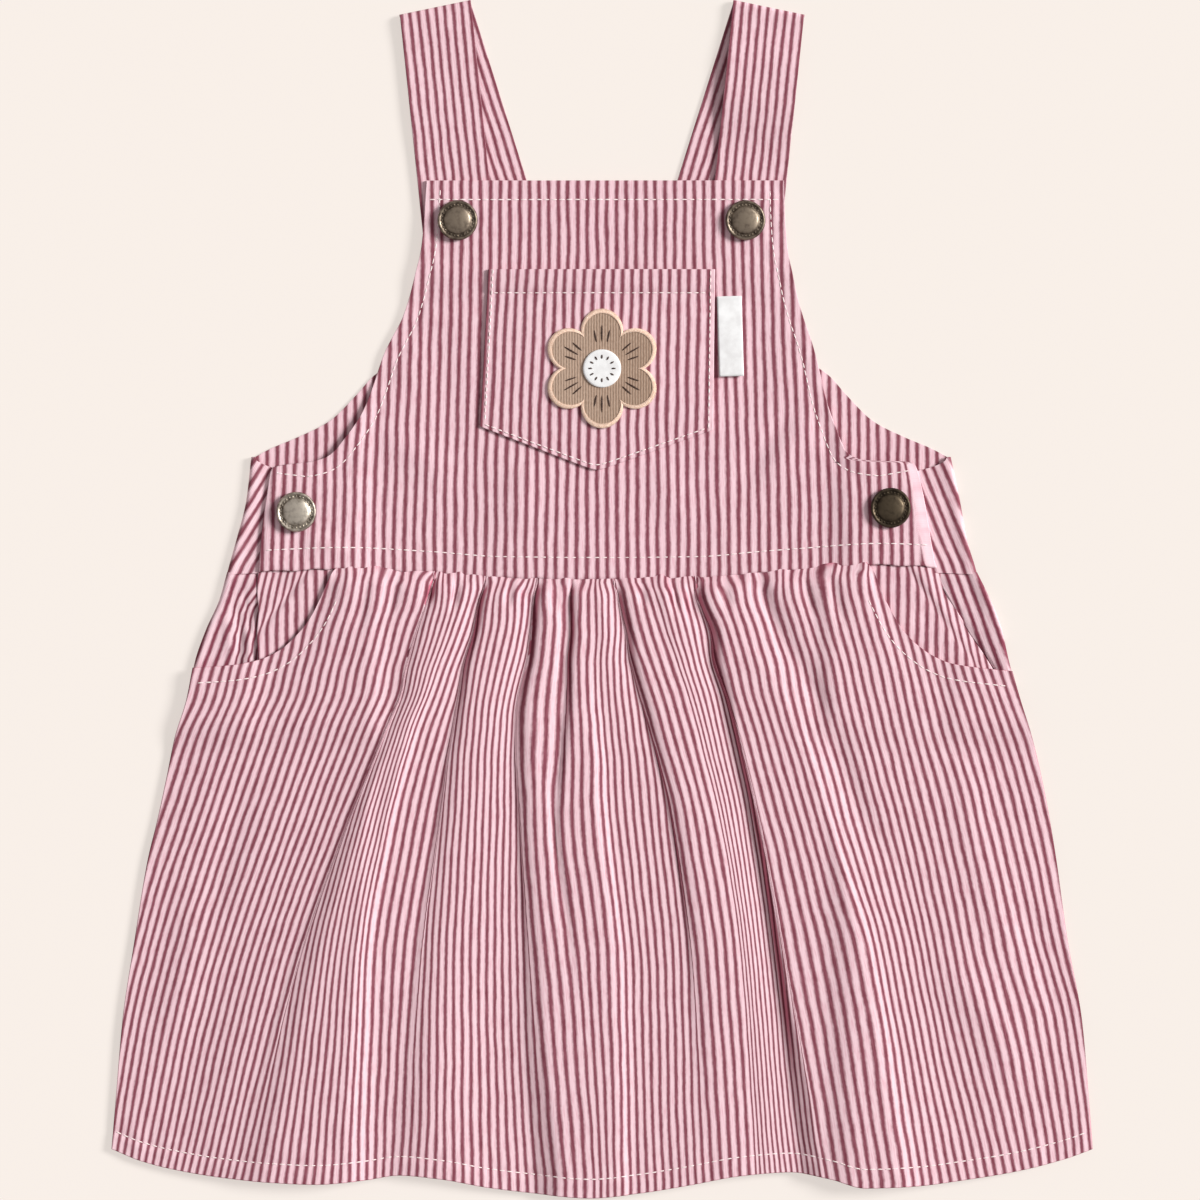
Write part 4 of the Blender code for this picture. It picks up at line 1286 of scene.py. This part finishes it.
# --- hip facings --------------------------------------------------------------------------------
@dataclass
class HipFacing:
    """The pocket facing that shows in a pocket mouth, creased where the pocket turns in."""

    form: DressForm
    finishes: Finishes
    hand: Hand
    hidden_in: float = 98.0
    foot_y: float = -37.0
    foot_rise: float = 9.0
    top_y: float = 12.0
    turn_step: float = 0.55
    turn_lean: float = 0.5
    tuck: float = 1.1
    crumple: SoftNoise = own_noise(41, 8.0)

    def build(self) -> None:
        """Build the facing."""
        side = self.hand.value
        on_right = self.hand is Hand.RIGHT
        ends = (127, 15, 158, -29) if on_right else (-120, 16, -143, -13)
        turn = Crease(*ends, 0.0, 3.0, -0.3, 0.02, 0.02 if on_right else 0.1)
        length = math.hypot(turn.x1 - turn.x0, turn.y1 - turn.y0)

        def slit_at(y: Array) -> Array:
            """Return how far out the facing reaches: to the side seam, which slants on the right."""
            return 142.0 + 0.62 * np.maximum(6.0 - y, 0.0) if on_right else 144.5 + 0.3 * np.sin(y * 0.3)

        def lay(across: Array, up: Array) -> tuple[Array, ...]:
            """Place the facing, from the slit to where it is hidden."""
            low = self.foot_y + self.foot_rise * across
            y = low + up * (self.top_y - low)
            slit = slit_at(y)
            x = side * (slit + across * (self.hidden_in - slit))
            y = y + ramp(up, 0.6, 1.0) * (self.form.waist_y(x) - GAP - self.top_y)
            beyond = ((y - turn.y0) * (turn.x1 - turn.x0) - (x - turn.x0) * (turn.y1 - turn.y0)) / length
            outer = ramp(side * beyond, -1.9, 1.9)
            step = self.turn_step * (outer if on_right else 1.0 - outer) * (0.8 + 0.3 * self.crumple(y, x))
            z = FLOOR_MID + LAYER + 0.1 + turn(x, y) + 0.25 * self.crumple(x, y) + step
            if on_right:
                z = z - self.tuck * (1.0 - ramp(across, 0.0, 0.14))
            return x, y, z, x + side * (1.6 * outer + self.turn_lean * np.maximum(side * beyond, 0.0)), y

        shell = ClothShell(f"hip_facing_{self.hand.word}_cloth")
        shell.add_grid(eased(60, 0.01), eased(64, 0.01), lay)
        node = f"hip_facing_{self.hand.word}"
        facing = dress(shell.finish(self.finishes.twill), "striped_twill", node)


# --- straps -------------------------------------------------------------------------------------
@dataclass
class Strap:
    """One band of cloth, folded over at the shoulder: its back part leans in further than its front."""

    finishes: Finishes
    hand: Hand
    width: float = 30.2
    fold_x: float = -69.8
    fold_y: float = 246.5
    front_lean: float = math.radians(6.0)
    back_lean: float = math.radians(17.5)
    fold_r: float = 1.2
    settle: float = 22.0
    stand_off: float = 0.5
    bows_up: tuple[float, float] = (4.0, 24.0)
    lies_down: tuple[float, float] = (36.0, 62.0)
    back_share: float = 0.42
    front_share: float = 0.5
    unrest: SoftNoise = own_noise(51, 22.0)

    def _spot(self, across: Array, reach: Array, front: Array) -> tuple[Array, Array]:
        """Return (x, y) of the left strap's layers, reach mm from the fold line."""
        tilt = (self.front_lean + self.back_lean) / 2
        skew = (self.back_lean - self.front_lean) / 2
        lean = np.where(front, -1.0, 1.0)
        shift = (across - 0.5) * self.width / math.cos(skew) + lean * reach * math.tan(skew)
        return (self.fold_x + math.cos(tilt) * shift + math.sin(tilt) * reach,
                self.fold_y + math.sin(tilt) * shift - math.cos(tilt) * reach)

    def _reach_to(self, across: Array, front: bool, end_y: float) -> Array:
        """Return how far from the fold line a layer meets the level end_y."""
        start = self._spot(across, np.zeros_like(across), np.array(front))[1]
        step = self._spot(across, np.ones_like(across), np.array(front))[1] - start
        return (end_y - start) / step

    def build(self) -> None:
        """Build the strap."""
        def lay(across: Array, up: Array) -> tuple[Array, ...]:
            """Place the band: up its back part, over the shoulder fold and down its front part."""
            turn = np.pi * np.clip((up - self.back_share) / (self.front_share - self.back_share), 0.0, 1.0)
            back = self._reach_to(across, False, BACK_TOP_Y + GAP) * np.clip(1 - up / self.back_share, 0, 1)
            down = np.clip((up - self.front_share) / (1 - self.front_share), 0, 1)
            front = self._reach_to(across, True, STRAP_FRONT_END_Y) * down
            on_front = turn > math.pi / 2
            reach = np.where(on_front, front, back) - self.fold_r * np.sin(turn)
            x, y = self._spot(across, reach, on_front)
            drop = (2 * self.fold_r - LAYER) * ramp(front, 0.0, self.settle)
            z = FLOOR_MID + self.fold_r * (1 - np.cos(turn)) - drop
            z = z + self.stand_off * ramp(front, *self.bows_up) * (1.0 - ramp(front, *self.lies_down))
            z = np.maximum(z + 0.25 * self.unrest(x, y) * ramp(np.abs(reach), 2.0, 14.0), FLOOR_MID)
            v = np.where(on_front, front + np.pi * self.fold_r, -back)
            return -self.hand.value * x, y, z, (across - 0.5) * self.width, v

        shell = ClothShell(f"strap_{self.hand.word}_cloth")
        parts = (np.linspace(0, self.back_share, 60)[:-1],
                 np.linspace(self.back_share, self.front_share, 13)[:-1],
                 np.linspace(self.front_share, 1.0, 66))
        shell.add_grid(eased(24, 0.012), np.concatenate(parts), lay)
        strap = dress(shell.finish(self.finishes.strap_twill), "striped_twill", f"strap_{self.hand.word}")
        self.width * MM


# --- chest pocket and tab -----------------------------------------------------------------------
@dataclass
class ChestPocket(LaidCloth):
    """The pointed patch pocket, with its turned and stitched top."""

    bib: Bib
    finishes: Finishes
    top_y: float = 138.0
    left: tuple[float, float] = (-47.6, -51.2)
    right: tuple[float, float] = (47.4, 46.6)
    corner_y: tuple[float, float] = (72.2, 70.8)
    point_y: float = 54.0
    top_turn: float = 9.8
    edge_turn: float = 1.9
    width: float = 96.0
    cloth_width: float = 97.0
    stripe_shift: float = 1.3
    puckers: SoftNoise = own_noise(61, 5.5)
    unrest: SoftNoise = own_noise(62, 22.0)

    def place(self, across: Array, up: Array) -> tuple[Array, Array]:
        """Return (x, y) at a share across and up the pocket."""
        slant = np.abs(2 * across - 1)
        corner = np.where(across < 0.5, self.corner_y[0], self.corner_y[1])
        low = self.point_y + (corner - self.point_y) * (np.sqrt(slant**2 + 0.0016) - 0.04) / 0.961
        y = low + up * (self.top_y - low)
        drop = np.clip((self.top_y - y) / (self.top_y - self.corner_y[0]), 0.0, 1.0)
        left = self.left[0] + (self.left[1] - self.left[0]) * drop
        right = self.right[0] + (self.right[1] - self.right[0]) * drop
        return left + across * (right - left), y

    def mid(self, x: Array, y: Array) -> Array:
        """Return the height of the cloth's middle."""
        middle = bell(x + 1.0, 90.0) * bell(y - 104.0, 84.0)
        seam_y = self.top_y - self.top_turn
        turned = 0.3 * ramp(y, seam_y, seam_y + 1.2)
        groove = 0.18 * bell(y - seam_y, 2.4)
        settled = self.bib.form.bib_level(x, y) + LAYER - 0.4
        return settled + 0.9 * middle + 0.25 * self.unrest(x, y) + turned - groove

    def build(self) -> None:
        """Build the pocket and its stitching."""
        def lay(across: Array, up: Array) -> tuple[Array, ...]:
            """Place the pocket's grid, with stripes that keep to its sides."""
            x, y = self.place(across, up)
            side = np.minimum(across, 1 - across) * self.width
            above_edge = y - self.place(across, np.zeros_like(up))[1]
            edge = bell(np.minimum(side, above_edge) - self.edge_turn, 3.0)
            z = self.mid(x, y) + 0.14 * self.puckers(x, y) * edge - 0.12 * edge
            return x, y, z, (across - 0.5) * self.cloth_width + self.stripe_shift, y

        shell = ClothShell("chest_pocket_cloth")
        shell.add_grid(eased(96, 0.004), eased(84, 0.004), lay)
        pocket = dress(shell.finish(self.finishes.twill), "striped_twill", "chest_pocket")

        stitches = Stitches("pocket_topstitching", length=2.2, space=0.7)
        inset = self.edge_turn / self.width
        seams = ((np.full(60, inset), np.linspace(1.0, inset, 60)),
                 (np.linspace(inset, 1 - inset, 120), np.full(120, inset * 1.2)),
                 (np.full(60, 1 - inset), np.linspace(inset, 1.0, 60)))
        for across, up in seams:
            stitches.sew(np.stack(self.place(across, up), 1), self.top)
        across = np.linspace(inset, 1 - inset, 60)
        x = self.place(across, np.ones_like(across))[0]
        stitches.sew(np.stack((x, np.full_like(x, self.top_y - self.top_turn)), 1), self.top)
        dress(stitches.finish(self.finishes.ivory), "thread")


@dataclass
class SideTab:
    """A blank white tape, folded at its free edge and sewn in the pocket's right seam."""

    form: DressForm
    finishes: Finishes
    width: float = 10.2
    length: float = 33.6
    at: Point = Point(53.6, 110.0)
    tilt: float = math.radians(1.6)
    fold_r: float = 0.3
    tape: float = 0.35

    def build(self) -> None:
        """Build the folded tape."""
        def lay(across: Array, up: Array) -> tuple[Array, ...]:
            """Place the tape: out on its lower layer, round its fold and back on its upper one."""
            turn = np.pi * np.clip((across - 0.45) / 0.1, 0.0, 1.0)
            out = np.clip(np.minimum(across, 1 - across) / 0.45, 0, 1)
            x = (out - 0.5) * (self.width - self.fold_r) + self.fold_r * np.sin(turn)
            y = (up - 0.5) * self.length
            x, y = (x * math.cos(self.tilt) - y * math.sin(self.tilt) + self.at.x,
                    x * math.sin(self.tilt) + y * math.cos(self.tilt) + self.at.y)
            base = self.form.bib_level(x, y) + HALF_WALL + GAP + self.tape / 2
            curl = 0.25 * np.sin(up * 5.0) * out
            return x, y, base + self.fold_r * (1 - np.cos(turn)) + curl + 0.1, x, y

        shell = ClothShell("side_tab_tape")
        bend = np.concatenate((np.linspace(0, 0.45, 14)[:-1], np.linspace(0.45, 0.55, 9)[:-1],
                               np.linspace(0.55, 1, 14)))
        shell.add_grid(bend, np.linspace(0, 1, 41), lay)
        tab = dress(shell.finish(self.finishes.white, self.tape), "white_cotton", "side_tab")


# --- flower patch -------------------------------------------------------------------------------
@dataclass
class FlowerPatch:
    """A six-petalled plush flower with a satin-stitched edge and a white centre."""

    pocket: ChestPocket
    finishes: Finishes
    at: Point = Point(0.0, 96.4)
    radius: float = 25.0
    petals: int = 6
    thick: float = 0.9
    centre_r: float = 8.0
    steps: int = 216
    border: float = 2.3
    border_space: float = 0.52
    pad_rings: tuple[tuple[float, float], ...] = (
        (1.0, 0.0), (1.0, 0.55), (0.965, 0.85), (0.9, 0.95), (0.72, 1.0), (0.45, 1.0), (0.2, 1.0))
    petal_lines: tuple[tuple[float, float], ...] = ((-0.2, 16.5), (0.0, 18.5), (0.2, 16.5))
    petal_line_start: float = 11.2
    centre_lines: int = 12
    centre_line_ends: tuple[float, float] = (4.0, 5.8)

    def _outline(self, direction: Array, inset: float = 0.0) -> Array:
        """Return the outline's points (x, y) in each direction, moved in by inset."""
        lobe = np.abs(np.cos(self.petals / 2 * (direction - math.pi / 2)))
        radius = self.radius * (0.68 + 0.32 * lobe**0.7) - inset
        return np.stack((self.at.x + radius * np.cos(direction), self.at.y + radius * np.sin(direction)), 1)

    def _base(self) -> float:
        """Return the height of the pocket's upper face below the patch, in the solids."""
        return float(self.pocket.bib.form.bib_level(*self.at)) + LAYER + HALF_WALL

    def _pad(self, name: str, outline: Array, base: float, material: bpy.types.Material) -> bpy.types.Object:
        """Build a soft pad: rings from its edge to its middle, each a little higher."""
        bm = bmesh.new()
        ring = bmesh.ops.create_circle(bm, segments=len(outline), radius=1.0)["verts"]
        middle = np.array(self.at)
        for share, rise in self.pad_rings:
            if rise > 0:
                edges = [bm.edges.get((a, b)) for a, b in zip(ring, ring[1:] + ring[:1])]
                geometry = bmesh.ops.extrude_edge_only(bm, edges=edges)["geom"]
                fresh = {vert for vert in geometry if isinstance(vert, bmesh.types.BMVert)}
                ring = [next(edge.other_vert(vert) for edge in vert.link_edges
                             if edge.other_vert(vert) in fresh) for vert in ring]
            points = middle + (outline - middle) * share
            for vert, (x, y) in zip(ring, points):
                vert.co = (x * MM, y * MM, (base + rise * self.thick) * MM)
        bmesh.ops.contextual_create(bm, geom=ring)
        bmesh.ops.recalc_face_normals(bm, faces=bm.faces)
        return link_mesh(name, bm, material)

    def build(self) -> None:
        """Build the patch, its centre, its satin edge and its embroidered lines."""
        directions = np.linspace(0.0, 2 * math.pi, self.steps, endpoint=False)
        middle = np.array(self.at)
        base = self._base() + GAP
        top = base + self.thick
        patch = self._pad("flower_patch", self._outline(directions), base, self.finishes.plush)
        dress(patch, "felt", "flower_applique")

        round_way = np.linspace(0.0, 2 * math.pi, 96, endpoint=False)
        ring = np.stack((np.cos(round_way), np.sin(round_way)), 1)
        centre = self._pad("flower_middle", middle + ring * self.centre_r, top, self.finishes.white)
        dress(centre, "white_cotton", "flower_centre")

        fine = np.linspace(0.0, 2 * math.pi, 4000)
        satin = Stitches("flower_satin_edge", width=0.62, height=0.5)
        outer = along_path(self._outline(fine, -0.25), self.border_space)
        inner = outer + (middle - outer) / np.linalg.norm(outer - middle, axis=1)[:, None] * self.border
        satin.lay_bars(np.column_stack((outer, np.full(len(outer), top - 0.35))),
                       np.column_stack((inner, np.full(len(inner), top + 0.12))))
        dress(satin.finish(self.finishes.cream), "thread")

        veins = Stitches("flower_veins", width=0.75, height=0.5)

        def ray(direction: float, ends: tuple[float, float], height: float) -> None:
            """Sew one dark stitch outwards from the middle."""
            way = np.array((math.cos(direction), math.sin(direction)))
            veins.lay_bars(*(np.array([[*(way * reach + self.at), height]]) for reach in ends))

        for k in range(self.petals):
            direction = math.pi / 2 + k * 2 * math.pi / self.petals
            for turn, end in self.petal_lines:
                ray(direction + turn, (self.petal_line_start, end), top + 0.1)
        for k in range(self.centre_lines):
            ray(k * 2 * math.pi / self.centre_lines, self.centre_line_ends, top + self.thick + 0.1)
        dress(veins.finish(self.finishes.brown), "thread")


# --- press studs --------------------------------------------------------------------------------
@dataclass
class PressStud:
    """The domed cap of a press stud, turned round its own axis, with a beaded groove."""

    form: DressForm
    brass: bpy.types.Material
    name: str
    at: Point
    radius: float = 8.4
    height: float = 3.4
    steps: int = 72
    beads: int = 28
    bead_size: float = 0.055
    bead_out: float = 0.78
    bead_up: float = 0.59
    profile: tuple[tuple[float, float], ...] = (
        (0.0, 1.0), (0.14, 0.995), (0.28, 0.975), (0.42, 0.935), (0.54, 0.88), (0.62, 0.82), (0.665, 0.74),
        (0.69, 0.64), (0.72, 0.6), (0.78, 0.58), (0.84, 0.6), (0.875, 0.68), (0.915, 0.72), (0.955, 0.68),
        (0.985, 0.58), (1.0, 0.42), (0.995, 0.26), (0.96, 0.12), (0.88, 0.02), (0.7, 0.0), (0.0, 0.0),
    )

    def build(self) -> None:
        """Turn the cap and set the beads in its groove."""
        base = float(self.form.bib_level(*self.at)) + HALF_WALL + GAP
        bm = bmesh.new()
        verts = [bm.verts.new((share * self.radius, 0.0, rise * self.height)) for share, rise in self.profile]
        edges = [bm.edges.new(pair) for pair in zip(verts[:-1], verts[1:])]
        bmesh.ops.spin(bm, geom=verts + edges, cent=(0, 0, 0), axis=(0, 0, 1), dvec=(0, 0, 0),
                       angle=2 * math.pi, steps=self.steps, use_merge=True)
        bmesh.ops.remove_doubles(bm, verts=bm.verts, dist=0.002)
        for k in range(self.beads):
            direction = k * 2 * math.pi / self.beads
            size = self.radius * self.bead_size
            bead = bmesh.ops.create_icosphere(bm, subdivisions=1, radius=size)["verts"]
            spot = Vector((math.cos(direction), math.sin(direction), 0.0)) * self.radius * self.bead_out
            bmesh.ops.translate(bm, vec=spot + Vector((0, 0, self.height * self.bead_up)), verts=bead)
        bmesh.ops.recalc_face_normals(bm, faces=bm.faces)
        bmesh.ops.translate(bm, vec=(self.at.x, self.at.y, base), verts=bm.verts)
        bmesh.ops.scale(bm, vec=(MM, MM, MM), verts=bm.verts)
        stud = link_mesh(f"{self.name}_cap", bm, self.brass)
        dress(stud, "antique_brass", self.name)


# --- studio -------------------------------------------------------------------------------------
@dataclass(frozen=True)
class Studio:
    """A pale floor, soft daylight from the upper right and a camera straight above."""

    view_width: float = 0.504
    view_centre: tuple[float, float] = (-0.00084, -0.00063)
    camera_height: float = 2.4
    sensor: float = 36.0
    to_light: tuple[float, float, float] = (0.83, 0.24, 0.52)
    sun: float = 4.3
    sun_angle: float = math.radians(20)
    sky: tuple[float, float, float, float] = (1.0, 0.955, 0.96, 1.0)
    sky_strength: float = 0.35
    floor_shade: tuple[int, int, int] = (148, 142, 137)
    floor_glow: tuple[int, int, int] = (208, 201, 195)

    def build(self) -> None:
        """Make the camera, the floor and the lights."""
        scene = bpy.context.scene
        scene.view_settings.view_transform = "Standard"
        camera = bpy.data.cameras.new("camera")
        camera.sensor_width = self.sensor
        camera.lens = self.sensor * self.camera_height / self.view_width
        eye = bpy.data.objects.new("camera", camera)
        eye.location = (*self.view_centre, self.camera_height)
        scene.collection.objects.link(eye)
        scene.camera = eye

        key = bpy.data.lights.new("daylight", "SUN")
        key.energy = self.sun
        key.angle = self.sun_angle
        lamp = bpy.data.objects.new("daylight", key)
        lamp.rotation_euler = Vector(self.to_light).to_track_quat("Z", "Y").to_euler()
        scene.collection.objects.link(lamp)

        world = bpy.data.worlds.new("studio")
        world.use_nodes = True
        background = world.node_tree.nodes["Background"]
        background.inputs["Color"].default_value = self.sky
        background.inputs["Strength"].default_value = self.sky_strength
        scene.world = world

        bm = bmesh.new()
        bmesh.ops.create_grid(bm, x_segments=1, y_segments=1, size=4.0)
        g = Graph("floor_paper")
        grain = g.noise(g.place(), 60.0, 3.0)
        paper = g.finish(Base_Color=srgb(*self.floor_shade), Roughness=0.9, Specular_IOR_Level=0.1,
                         Emission_Color=srgb(*self.floor_glow), Emission_Strength=1.0,
                         Normal=g.bump(grain, 0.02, 0.2))
        link_mesh("floor", bm, paper)


def main() -> None:
    """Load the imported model, dress it and set it in the studio."""
    logging.basicConfig(level=logging.INFO, format="%(message)s")
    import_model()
    form, finishes = DressForm(), Finishes()
    Studio().build()
    BackPanels(form, finishes).build()
    FrontSkirt(form, finishes).build()
    bib = Bib(form, finishes)
    bib.build()
    for hand, stand_off in ((Hand.LEFT, 0.5), (Hand.RIGHT, 2.2)):
        HipFacing(form, finishes, hand).build()
        Strap(finishes, hand, stand_off=stand_off).build()
    pocket = ChestPocket(bib, finishes)
    pocket.build()
    SideTab(form, finishes).build()
    FlowerPatch(pocket, finishes).build()
    for name, at, brass in (("bib_snap_left", Point(-60.5, 158.5), finishes.brass),
                            ("bib_snap_right", Point(60.1, 158.5), finishes.brass),
                            # the left side stud's brass is lighter: painted reflection
                            ("side_snap_left", Point(-128.1, 36.3), finishes.brass_painted_reflection),
                            # the right side stud's brass is darker: painted shade
                            ("side_snap_right", Point(121.0, 38.0), finishes.brass_painted_shade)):
        PressStud(form, brass, name, at).build()
    bpy.context.view_layer.update()


if __name__ == "__main__":
    main()
